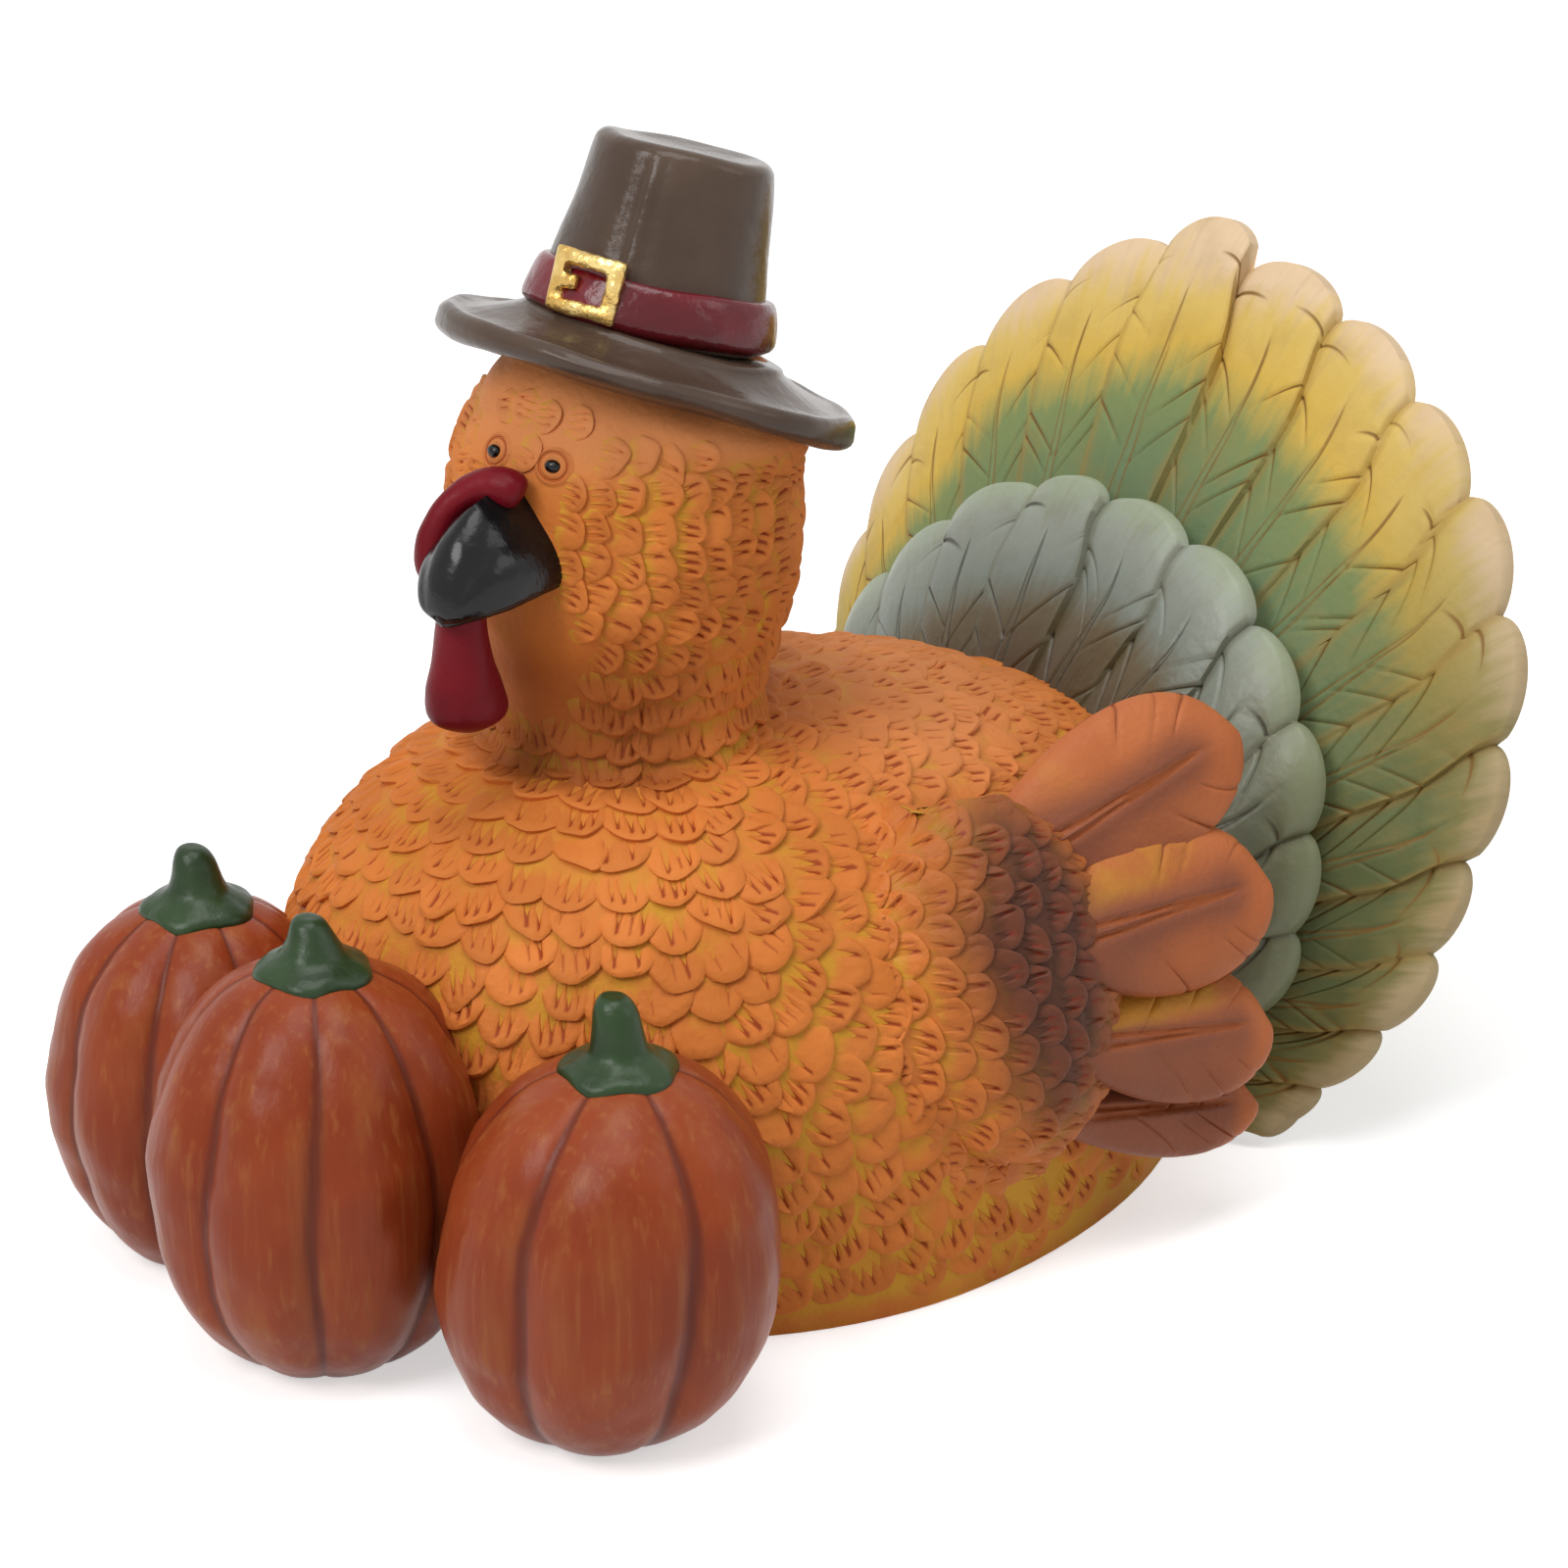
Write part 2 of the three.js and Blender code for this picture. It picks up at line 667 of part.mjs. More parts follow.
function fanGeometry(fan) {
  const columns = [];
  for (let i = 0; i < fan.feathers; i++) {
    for (const u of featherColumns) columns.push([i, u]);
  }
  columns.push([fan.feathers - 1, 0.5]);
  const pointAt = (share, [index, u], back) => {
    const turn = rad((index - (fan.feathers - 1) / 2 + u) * fan.pitch);
    const outward = turn < 0 ? -u : u;
    const scallop = 1 - featherRelief.notch * (1 - Math.sqrt(1 - (2 * u) ** 2));
    const edge = fanReach(fan, turn) * scallop;
    const reach = lerp(fan.rootShare, 1, share);
    const dish = fan.dish * (1 - reach);
    const low = Math.max(0, Math.abs(turn) - rad(fan.cupFrom)) / rad(130 - fan.cupFrom);
    const dome = featherRelief.crown * (1 - (2 * u) ** 2) + (Math.abs(u) < 0.1 ? featherRelief.quill : 0);
    const lift = (dome + featherRelief.overlap * outward) * share;
    const thickness = lerp(fan.rootThickness, fan.tipThickness, share);
    const forward = dish + fan.cup * low ** 1.4 * share + (back ? -thickness : lift);
    const radius = reach * edge;
    return new THREE.Vector3(radius * Math.sin(turn), -forward, fan.rootHeight + radius * Math.cos(turn));
  };
  const grid = (back) => steps(fanRows + 1, (r) => columns.map((c) => pointAt(r / fanRows, c, back)));
  return plate(grid(false), grid(true));
}

function addFan(name, fan, finish, ...neighbours) {
  const group = new THREE.Group();
  group.position.y = body.middleY + body.reach.back - fan.inset;
  group.rotation.x = -rad(fan.lean);
  figure.add(group);
  const mesh = place(group, name, fanGeometry(fan), finish);
  figure.updateMatrixWorld(true);
  const uncut = mesh.clone();
  bed(standOnBase(mesh), bodyMesh, ...neighbours);
  return uncut;
}

const innerFanUncut = addFan("tail_inner_fan", innerFan, finishes.innerTail);
addFan("tail_outer_fan", outerFan, finishes.outerTail, innerFanUncut);

// Pumpkins: lobed swellings with a flat foot, each with a stem on a wavy flange

function pumpkinGeometry(pumpkin) {
  const sides = pumpkin.lobes * 4;
  const first = Math.asin(2 * pumpkinForm.footShare - 1);
  const rows = 10;
  const rings = steps(rows + 1, (r) => {
    const swing = lerp(first, Math.PI / 2, r / rows);
    const height = ((Math.sin(swing) - Math.sin(first)) / (1 - Math.sin(first))) * pumpkin.height;
    const drift = height / pumpkin.height;
    const [leanX, leanY] = pumpkin.lean.map((far) => far * drift);
    if (r === rows) return [new THREE.Vector3(leanX, leanY, height)];
    const full = pumpkin.radius * Math.cos(swing) ** pumpkinForm.fullness;
    return steps(sides, (i) => {
      const angle = (2 * Math.PI * i) / sides + rad(pumpkin.groove);
      const lobe = Math.abs(Math.sin((pumpkin.lobes * Math.PI * i) / sides)) ** pumpkinForm.ribSharpness;
      const radius = full * (1 - pumpkinForm.ribDepth * (1 - lobe));
      return new THREE.Vector3(leanX + radius * Math.cos(angle), leanY + radius * Math.sin(angle), height);
    });
  });
  return loft(rings);
}

function stemGeometry(tall) {
  const sides = 15;
  const levels = [
    [stem.flange, -stem.sink, 1],
    [stem.flange, stem.rim, 1],
    [stem.foot * 1.1, stem.rim + 0.7, 0.5],
    [stem.top * 1.1, tall * 0.5, 0],
    [stem.top, tall - 0.6, 0],
    [stem.top * 0.7, tall, 0],
  ];
  const rings = levels.map(([radius, height, wavy]) => {
    const bend = stem.bend * (Math.max(0, height) / tall) ** 2;
    return steps(sides, (i) => {
      const angle = (2 * Math.PI * i) / sides;
      const wide = radius * (1 + wavy * stem.waveDepth * Math.cos(stem.waves * angle));
      return new THREE.Vector3(wide * Math.cos(angle) - bend, wide * Math.sin(angle), height);
    });
  });
  return loft(rings);
}

const pumpkinMeshes = [];
for (const pumpkin of pumpkins) {
  const group = new THREE.Group();
  group.position.set(...pumpkin.at, 0);
  figure.add(group);
  const mesh = place(group, `pumpkin_${pumpkin.side}`, pumpkinGeometry(pumpkin), finishes.pumpkin);
  bed(mesh, bodyMesh, ...pumpkinMeshes);
  pumpkinMeshes.push(mesh);
  const stalk = stemGeometry(pumpkin.stemHeight).translate(...pumpkin.lean, pumpkin.height);
  bed(place(group, `pumpkin_stem_${pumpkin.side}`, stalk, finishes.stem), mesh);
}

export default figure;
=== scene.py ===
import math
import random

import bmesh
import bpy
from mathutils import Matrix, Vector, noise
from mathutils.bvhtree import BVHTree


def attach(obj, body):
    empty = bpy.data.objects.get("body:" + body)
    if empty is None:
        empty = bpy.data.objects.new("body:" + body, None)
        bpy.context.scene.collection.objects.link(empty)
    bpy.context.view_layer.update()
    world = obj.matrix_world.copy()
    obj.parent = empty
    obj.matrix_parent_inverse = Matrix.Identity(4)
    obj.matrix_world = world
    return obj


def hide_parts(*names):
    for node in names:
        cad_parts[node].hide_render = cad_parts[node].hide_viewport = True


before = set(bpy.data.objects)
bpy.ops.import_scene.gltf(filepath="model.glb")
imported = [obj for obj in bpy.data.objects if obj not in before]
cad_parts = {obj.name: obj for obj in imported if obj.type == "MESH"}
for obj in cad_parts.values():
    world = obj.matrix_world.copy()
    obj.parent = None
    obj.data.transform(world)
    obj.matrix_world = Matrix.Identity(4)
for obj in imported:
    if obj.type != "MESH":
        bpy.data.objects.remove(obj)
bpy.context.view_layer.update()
mm = 0.001  # the meshes are shaped in millimetres and stored in metres


# small sums used by every piece
def mix(a, b, t):
    return a + (b - a) * t


def ease(low, high, value):  # 0 below low, 1 above high, soft between
    t = min(1.0, max(0.0, (value - low) / (high - low)))
    return t * t * (3 - 2 * t)


def bell(value, width):
    return math.exp(-((value / width) ** 2))


def along(points, t):  # smooth curve through the points, t from 0 to 1
    spans = len(points) - 1
    k = min(int(t * spans), spans - 1)
    s = t * spans - k
    p0, p1, p2, p3 = (Vector(points[min(max(i, 0), spans)]) for i in range(k - 1, k + 3))
    bend = (p0 * 2 - p1 * 5 + p2 * 4 - p3) * s * s + (p1 * 3 - p0 - p2 * 3 + p3) * s ** 3
    return (p1 * 2 + (p2 - p0) * s + bend) * 0.5


def lumps(point, size, seed=0.0):  # smooth noise from -1 to 1
    return noise.noise(Vector(point) / size + Vector((seed, seed * 1.7, seed * 0.6)))


# node helpers for the paints
def colour(red, green, blue):  # screen colour as linear light
    def linear(c):
        c /= 255
        return ((c + 0.055) / 1.055) ** 2.4 if c > 0.04045 else c / 12.92
    return (linear(red), linear(green), linear(blue), 1.0)


def plug(tree, socket, value):
    if isinstance(value, bpy.types.NodeSocket):
        tree.links.new(value, socket)
    else:
        socket.default_value = value


def addNode(tree, kind, inputs=None, **settings):
    made = tree.nodes.new(kind)
    for key, value in settings.items():
        setattr(made, key, value)
    for key, value in (inputs or {}).items():
        plug(tree, made.inputs[key], value)
    return made


def newPaint(name, roughness, shine=0.2, metallic=0.0):
    paint = bpy.data.materials.new(name)
    paint.use_nodes = True
    shader = paint.node_tree.nodes["Principled BSDF"]
    shader.inputs["Roughness"].default_value = roughness
    shader.inputs["Specular IOR Level"].default_value = shine
    shader.inputs["Metallic"].default_value = metallic
    return paint, paint.node_tree, shader


def mark(tree, name):  # a value painted on the mesh
    return addNode(tree, "ShaderNodeAttribute", attribute_name=name).outputs["Fac"]


def place(tree):
    return addNode(tree, "ShaderNodeTexCoord").outputs["Object"]


def clouds(tree, where, scale, detail):
    return addNode(tree, "ShaderNodeTexNoise", {"Vector": where, "Scale": scale, "Detail": detail}).outputs["Fac"]


def grain(tree, scale, detail=3.0, stretch=(1, 1, 1)):
    spread = addNode(tree, "ShaderNodeMapping", {"Vector": place(tree), "Scale": stretch})
    return clouds(tree, spread.outputs["Vector"], scale, detail)


def fit(tree, value, low, high, toLow=0.0, toHigh=1.0):
    ends = {"Value": value, "From Min": low, "From Max": high, "To Min": toLow, "To Max": toHigh}
    return addNode(tree, "ShaderNodeMapRange", ends, interpolation_type="SMOOTHSTEP").outputs["Result"]


def sums(tree, operation, first, second=0.0):
    made = addNode(tree, "ShaderNodeMath", operation=operation)
    plug(tree, made.inputs[0], first)
    plug(tree, made.inputs[1], second)
    return made.outputs[0]


def plus(tree, first, *others):
    for value in others:
        first = sums(tree, "ADD", first, value)
    return first


def times(tree, first, *others):
    for value in others:
        first = sums(tree, "MULTIPLY", first, value)
    return first


def swing(tree, cloud, size):  # a noise that swings about 0
    return times(tree, sums(tree, "SUBTRACT", cloud, 0.5), size)


def over(tree, amount, under, top, how="MIX"):
    made = addNode(tree, "ShaderNodeMix", data_type="RGBA", blend_type=how)
    for slot, value in ((0, amount), (6, under), (7, top)):
        plug(tree, made.inputs[slot], value)
    return made.outputs[2]


def ramp(tree, value, stops):
    made = addNode(tree, "ShaderNodeValToRGB", {"Fac": value})
    scale = made.color_ramp
    while len(scale.elements) < len(stops):
        scale.elements.new(0.5)
    for element, (position, shade) in zip(scale.elements, stops):
        element.position = position
        element.color = shade
    return made.outputs["Color"]


def relief(tree, shader, height, depth):  # fine surface texture, depth in millimetres
    bump = addNode(tree, "ShaderNodeBump", {"Height": height, "Distance": depth * mm})
    tree.links.new(bump.outputs["Normal"], shader.inputs["Normal"])


def axis(tree, name):
    return addNode(tree, "ShaderNodeSeparateXYZ", {"Vector": place(tree)}).outputs[name]


# carved pieces carry these values on their vertices
# one of these marks holds painted shade near the neck on the plumage and a brown wash on the flight feathers
carvedMarks = ("cut", "hollow", "tone", "washAndShade", "span", "turn")


def newCarving():
    bm = bmesh.new()
    marks = {name: bm.verts.layers.float.new(name) for name in carvedMarks}
    return bm, marks


def addObject(name, data):
    made = bpy.data.objects.new(name, data)
    bpy.context.scene.collection.objects.link(made)
    return made


def finishPiece(bm, name, paint, nodes, sharp=45):
    mesh = bpy.data.meshes.new(name)
    bmesh.ops.scale(bm, vec=(mm, mm, mm), verts=bm.verts)
    bm.to_mesh(mesh)
    bm.free()
    mesh.polygons.foreach_set("use_smooth", [True] * len(mesh.polygons))
    mesh.set_sharp_from_angle(angle=math.radians(sharp))
    mesh.materials.append(paint)
    piece = addObject(name, mesh)
    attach(piece, "root")
    if nodes:
        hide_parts(*nodes)
    print(name, len(mesh.vertices), "points")


def gridShares(bm):  # the two places of each point of a new grid, from 0 to 1
    half = max(v.co.x for v in bm.verts)
    return [((v.co.x / half + 1) / 2, (v.co.y / half + 1) / 2) for v in bm.verts]


def onDisc(x, y):  # a place on a square grid moved onto a disc
    flat, longest = math.hypot(x, y), max(abs(x), abs(y))
    return (x / flat * longest, y / flat * longest) if flat else (x, y)


def wrapped(columns, rows, shape):  # a grid bent into a closed skin
    bm = bmesh.new()
    bmesh.ops.create_grid(bm, x_segments=columns, y_segments=rows, size=1)
    for v, (u, t) in zip(bm.verts, gridShares(bm)):
        v.co = shape(u, t)
    bmesh.ops.remove_doubles(bm, verts=bm.verts, dist=0.001)
    bmesh.ops.recalc_face_normals(bm, faces=bm.faces)
    return bm


# paints
def carvedPaint(name, roughness, top, second, hollow, cut, lowYellow=0.0):
    paint, tree, shader = newPaint(name, roughness, 0.16)
    drift = grain(tree, 90, 4)
    body = over(tree, fit(tree, drift, 0.35, 0.65), top, second)
    tone = fit(tree, mark(tree, "tone"), 0, 1, 0.93, 1.06)
    grey = addNode(tree, "ShaderNodeCombineColor", {0: tone, 1: tone, 2: tone}).outputs[0]
    body = over(tree, 1.0, body, grey, "MULTIPLY")
    depth = mark(tree, "hollow")
    if lowYellow:
        low = fit(tree, axis(tree, "Z"), 0.034, 0.002)
        rear = fit(tree, axis(tree, "Y"), -0.040, 0.020)
        depth = plus(tree, depth, times(tree, low, rear, lowYellow))
    speck = swing(tree, grain(tree, 220, 3), 1.1)
    body = over(tree, fit(tree, plus(tree, depth, speck), 0.3, 1.0), body, hollow)
    depth = plus(tree, mark(tree, "cut"), times(tree, speck, 0.25))
    body = over(tree, fit(tree, depth, 0.35, 0.8), body, cut)
    tree.links.new(body, shader.inputs["Base Color"])
    relief(tree, shader, grain(tree, 1400, 4), 0.14)
    return paint, tree, shader, body


plumageTones = {
    "carved": (colour(212, 124, 57), colour(199, 113, 48), colour(200, 146, 44), colour(152, 66, 26)),
    # the pale colour paints light on the back and the forehead; the neck colour paints shade under the chin and at
    # the foot of the neck
    "paintedLight": colour(236, 166, 116), "neck": colour(124, 58, 20),
    "roughness": 0.62, "lowYellow": 0.42, "paintedLightShare": 0.34,
    "backHeight": (0.038, 0.047), "backStart": (-0.004, 0.022), "forehead": (0.074, 0.080),  # metres
}


def plumageColours():
    tones = plumageTones
    paint, tree, shader, body = carvedPaint("plumagePaint", tones["roughness"], *tones["carved"], tones["lowYellow"])
    height = axis(tree, "Z")
    # painted light: paler on the back and the forehead, most on the raised, uncut scales
    back = times(tree, fit(tree, height, *tones["backHeight"]), fit(tree, axis(tree, "Y"), *tones["backStart"]))
    paintedLight = sums(tree, "MAXIMUM", back, fit(tree, height, *tones["forehead"]))  # paler on the back and the forehead
    uncut = fit(tree, mark(tree, "cut"), 0.3, 0.8, tones["paintedLightShare"], 0.06)
    raised = times(tree, uncut, fit(tree, mark(tree, "hollow"), 0.3, 0.9, 1.0, 0.4))
    body = over(tree, times(tree, paintedLight, raised), body, tones["paintedLight"])
    # painted shade under the chin and at the foot of the neck
    shaded = over(tree, fit(tree, mark(tree, "washAndShade"), 0, 1, 0, 0.85), body, tones["neck"])
    tree.links.new(shaded, shader.inputs["Base Color"])
    return paint


plumagePaint = plumageColours()

covertTones = {
    "raised": colour(93, 51, 38), "hollow": colour(56, 30, 25), "cut": colour(124, 54, 38),
    "middle": (0.038, 0.0105, 0.0318), "reach": (0.024, 0.0104, 0.0195),  # the brown patch, metres
    "roughness": 0.5, "shine": 0.2,
}


def covertColours():
    tones = covertTones
    paint, tree, shader, body = carvedPaint("covertPaint", tones["roughness"], *plumageTones["carved"])
    shader.inputs["Specular IOR Level"].default_value = tones["shine"]
    places = (sums(tree, "ABSOLUTE", axis(tree, "X")), axis(tree, "Y"), axis(tree, "Z"))
    parts = []
    for value, middle, reach in zip(places, tones["middle"], tones["reach"]):
        parts.append(sums(tree, "POWER", sums(tree, "DIVIDE", sums(tree, "SUBTRACT", value, middle), reach), 2.0))
    spread = sums(tree, "SQRT", plus(tree, *parts))
    patchy = plus(tree, spread, times(tree, grain(tree, 120, 2), 0.5))
    dark = fit(tree, patchy, 1.5, 0.6, 0, 0.95)
    # painted shade and light on the brown scales: darker in their hollows, lighter where they are raised
    brown = over(tree, fit(tree, mark(tree, "hollow"), 0.1, 0.6), tones["raised"], tones["hollow"])
    brown = over(tree, fit(tree, mark(tree, "cut"), 0.3, 0.8), brown, tones["cut"])
    tree.links.new(over(tree, dark, body, brown), shader.inputs["Base Color"])
    return paint


covertPaint = covertColours()

flightTones = {
    "carved": (colour(188, 108, 62), colour(176, 97, 53), colour(190, 130, 44), colour(140, 72, 34)),
    "brown": colour(116, 67, 50), "roughness": 0.5, "shine": 0.2,
}


def flightColours():
    tones = flightTones
    paint, tree, shader, body = carvedPaint("flightPaint", tones["roughness"], *tones["carved"])
    shader.inputs["Specular IOR Level"].default_value = tones["shine"]
    washAndShade = plus(tree, mark(tree, "washAndShade"), swing(tree, grain(tree, 70, 3), 0.4))
    shaded = over(tree, fit(tree, washAndShade, 0.08, 0.85, 0, 0.8), body, tones["brown"])
    keep = fit(tree, mark(tree, "cut"), 0.3, 0.8)
    tree.links.new(over(tree, keep, shaded, body), shader.inputs["Base Color"])
    return paint


flightPaint = flightColours()


# tail colours from root to rim, on the upper and on the lower feathers; the lower colours also paint shade on the
# right of the fans
outerTailTones = {
    "roughness": 0.55, "shine": 0.2,
    "top": [(0.62, colour(106, 126, 90)), (0.77, colour(124, 138, 86)), (0.85, colour(206, 172, 78)),
            (0.93, colour(214, 184, 104)), (0.985, colour(222, 194, 158))],
    "low": [(0.62, colour(100, 107, 70)), (0.86, colour(94, 102, 62)), (0.945, colour(128, 121, 74)),
            (0.995, colour(174, 154, 117))],
    "cut": colour(128, 92, 42), "glaze": colour(158, 124, 62),
}
innerTailTones = {
    "roughness": 0.38, "shine": 0.36,
    "top": [(0.56, colour(80, 56, 30)), (0.73, colour(104, 92, 66)), (0.82, colour(130, 140, 130)),
            (0.93, colour(152, 160, 148)), (0.985, colour(154, 164, 138))],
    "low": [(0.56, colour(92, 76, 44)), (0.72, colour(90, 92, 72)), (0.88, colour(104, 111, 92)),
            (0.985, colour(120, 125, 92))],
    "cut": colour(56, 53, 38), "glaze": colour(104, 99, 72),
}


def tailColours(name, tones):
    paint, tree, shader = newPaint(name, tones["roughness"], tones["shine"])
    turn, span = mark(tree, "turn"), mark(tree, "span")
    lengthwise = {"X": times(tree, turn, 130), "Y": times(tree, span, 7)}
    streak = clouds(tree, addNode(tree, "ShaderNodeCombineXYZ", lengthwise).outputs["Vector"], 1.0, 3.0)
    drift = plus(tree, swing(tree, grain(tree, 60, 3), 0.16), swing(tree, streak, 0.08))
    span = plus(tree, span, drift)
    # painted shade: the darker lower colours begin nearer the middle on the right than on the left
    side = sums(tree, "MAXIMUM", fit(tree, turn, 0.15, 0.47), fit(tree, turn, -0.35, -0.7))
    body = over(tree, side, ramp(tree, span, tones["top"]), ramp(tree, span, tones["low"]))
    glazes = (
        fit(tree, grain(tree, 190, 4), 0.45, 0.75, 0, 0.22),
        fit(tree, streak, 0.5, 0.75, 0, 0.16),
        fit(tree, mark(tree, "hollow"), 0.2, 1.0, 0, 0.4),
    )
    for amount in glazes:
        body = over(tree, amount, body, tones["glaze"])
    body = over(tree, fit(tree, mark(tree, "cut"), 0.35, 0.75, 0, 0.9), body, tones["cut"])
    tree.links.new(body, shader.inputs["Base Color"])
    relief(tree, shader, grain(tree, 900, 4), 0.1)
    return paint


outerTailPaint = tailColours("outerTailPaint", outerTailTones)
innerTailPaint = tailColours("innerTailPaint", innerTailTones)

pumpkinTones = {
    "base": (colour(132, 53, 24), colour(146, 64, 30)), "streak": colour(160, 98, 50), "brush": colour(172, 114, 60),
    "groove": colour(92, 36, 22), "roughness": 0.34, "shine": 0.18,
}


def pumpkinColours():
    tones = pumpkinTones
    paint, tree, shader = newPaint("pumpkinPaint", tones["roughness"], tones["shine"])
    base = over(tree, fit(tree, grain(tree, 70, 4), 0.35, 0.68), *tones["base"])
    streak = grain(tree, 150, 4, (2.6, 2.6, 0.32))
    body = over(tree, fit(tree, streak, 0.46, 0.76, 0, 0.34), base, tones["streak"])
    brush = grain(tree, 560, 3, (2.4, 2.4, 0.1))
    body = over(tree, fit(tree, brush, 0.52, 0.76, 0, 0.26), body, tones["brush"])
    body = over(tree, fit(tree, mark(tree, "hollow"), 0.2, 0.95, 0, 0.8), body, tones["groove"])
    tree.links.new(body, shader.inputs["Base Color"])
    relief(tree, shader, streak, 0.2)
    return paint


pumpkinPaint = pumpkinColours()


def mottled(name, roughness, light, dark, patch, shine=0.3, bumpScale=700, bumpDepth=0.12, metallic=0.0):
    paint, tree, shader = newPaint(name, roughness, shine, metallic)
    body = over(tree, fit(tree, grain(tree, patch, 4), 0.35, 0.65), light, dark)
    tree.links.new(body, shader.inputs["Base Color"])
    relief(tree, shader, grain(tree, bumpScale, 5), bumpDepth)
    return paint


stemPaint = mottled("stemPaint", 0.34, colour(42, 64, 33), colour(30, 48, 24), patch=160, shine=0.28)
hatPaint = mottled("hatPaint", 0.22, colour(88, 71, 59), colour(72, 56, 46), patch=60, shine=0.22,
                   bumpScale=300, bumpDepth=0.2)
bandPaint = mottled("bandPaint", 0.2, colour(112, 16, 30), colour(90, 10, 20), patch=130, shine=0.38,
                    bumpScale=350, bumpDepth=0.3)
goldPaint = mottled("goldPaint", 0.26, colour(238, 212, 140), colour(206, 164, 88), patch=300, shine=0.5,
                    bumpScale=900, bumpDepth=0.35, metallic=0.85)
blackPaint = mottled("blackPaint", 0.2, colour(15, 14, 15), colour(10, 9, 10), patch=200, shine=0.3,
                     bumpScale=300, bumpDepth=0.2)
redPaint = mottled("redPaint", 0.4, colour(116, 16, 28), colour(92, 8, 18), patch=80, shine=0.13)
print("paints ready")


# carved scales: a small grid drawn out to a rounded tip, with three tapering strokes
scaleForm = {
    "columns": (-1, -0.86, -0.68, -0.5, -0.38, -0.2, 0, 0.2, 0.38, 0.5, 0.68, 0.86, 1),
    "rows": (0, 0.52, 0.82, 0.94, 1),
    "strokes": {4: 1, 6: 2, 8: 3},  # column and stroke number
    "rowHollow": (0.9, 0.44, 0.04, 0, 0),
    "strokeFade": {0: 1.0, 1: 1.0, 2: 0.85},
    "sideReach": 0.4, "rootNarrow": 0.82,
    "sink": 0.55, "sideDrop": 1.35, "edgeDrop": 0.26, "wallDepth": 1.5,
}


def scaleTemplate():
    bm, marks = newCarving()
    stroke = bm.verts.layers.int.new("stroke")
    columns, rows = scaleForm["columns"], scaleForm["rows"]
    last = len(rows) - 1
    bmesh.ops.create_grid(bm, x_segments=len(columns) - 1, y_segments=last, size=1)
    tip = []
    for v, (s, t) in zip(bm.verts, gridShares(bm)):
        column, row = round(s * (len(columns) - 1)), round(t * last)
        u, f = columns[column], rows[row]
        reach = mix(scaleForm["sideReach"], 1, math.sqrt(1 - u * u))
        rise = mix(-scaleForm["sink"], 1, f) - scaleForm["sideDrop"] * u ** 4 * (0.4 + 0.6 * f)
        v[marks["hollow"]] = scaleForm["rowHollow"][row] + 0.6 * ease(0.62, 1, abs(u))
        if row in scaleForm["strokeFade"]:
            v[stroke] = 10 * row * (column in scaleForm["strokes"]) + scaleForm["strokes"].get(column, 0)
        if row == last:
            rise -= scaleForm["edgeDrop"]
            tip.append(v)
        v.co = (u * mix(scaleForm["rootNarrow"], 1, f), f * reach, rise)
    edges = [e for e in bm.edges if e.is_boundary and all(v in tip for v in e.verts)]
    wall = bmesh.ops.extrude_edge_only(bm, edges=edges)["geom"]
    for v in (part for part in wall if isinstance(part, bmesh.types.BMVert)):
        v.co.z -= scaleForm["wallDepth"]
        v.co.y -= 0.03
        v[marks["hollow"]] = 1.0
    bmesh.ops.recalc_face_normals(bm, faces=bm.faces)
    for face in bm.faces:
        if face.normal.z < -0.2:
            bmesh.ops.reverse_faces(bm, faces=[face])
    mesh = bpy.data.meshes.new("scaleTemplate")
    bm.to_mesh(mesh)
    bm.free()
    return mesh


template = scaleTemplate()


def neckShade(point):  # painted shade under the chin and around the foot of the neck, strongest at the front
    level = Vector((point.x, point.y - headForm["y"], 0))
    front = ease(0.1, 0.75, facing(0).dot(level.normalized()))
    return mix(0.2, 0.65, front) * ease(70, 55, point.z) * ease(17, 13.5, level.length)


def layScales(bm, surface, spots, size, rng):
    coat, marks = newCarving()
    stroke = coat.verts.layers.int.new("stroke")
    for point, heading, share, lift in spots:
        middle, out, _, _ = surface.find_nearest(point)
        run = (heading - out * heading.dot(out)).normalized()
        run.rotate(Matrix.Rotation(rng.gauss(0, size["twist"]), 3, out))
        side = run.cross(out)
        wide = size["halfWidth"] * share * rng.uniform(0.92, 1.1)
        long = size["length"] * share * rng.uniform(0.94, 1.1)
        high = size["lift"] * lift * rng.uniform(0.75, 1.2)
        tone = rng.random()
        depths = [rng.choice((0.15, 0.7, 1.0, 1.0, 1.3)) * lift ** 0.5 for _ in range(3)]
        slide, slant, tilt = rng.uniform(-0.16, 0.16), rng.uniform(-0.35, 0.35), rng.uniform(-0.16, 0.16)
        skew = rng.uniform(-0.14, 0.14)
        start = len(coat.verts)
        coat.from_mesh(template)
        coat.verts.ensure_lookup_table()
        for v in coat.verts[start:]:
            x, y, z = v.co
            rise = (z + tilt * x) * high
            y *= 1 + skew * x + 0.08 * noise.noise(Vector((x * 1.3, tone * 90, y)))
            x += (slide + slant * (y - 0.6)) * (1 - abs(x))
            row, number = divmod(v[stroke], 10)
            if number:
                cut = depths[number - 1] * scaleForm["strokeFade"][row]
                rise -= size["strokeDepth"] * cut
                v[marks["cut"]] = min(1.0, cut)
            v[marks["tone"]] = tone
            v[marks["hollow"]] *= size["yellow"]
            spot, normal, _, _ = surface.find_nearest(middle + side * (x * wide) + run * ((y - 0.62) * long))
            v.co = spot + normal * (rise + 0.07 * lumps(spot, 1.3, 3))
            # painted shade near the neck
            v[marks["washAndShade"]] = neckShade(spot)
    mesh = bpy.data.meshes.new("coat")
    coat.to_mesh(mesh)
    coat.free()
    bm.from_mesh(mesh)
    bpy.data.meshes.remove(mesh)


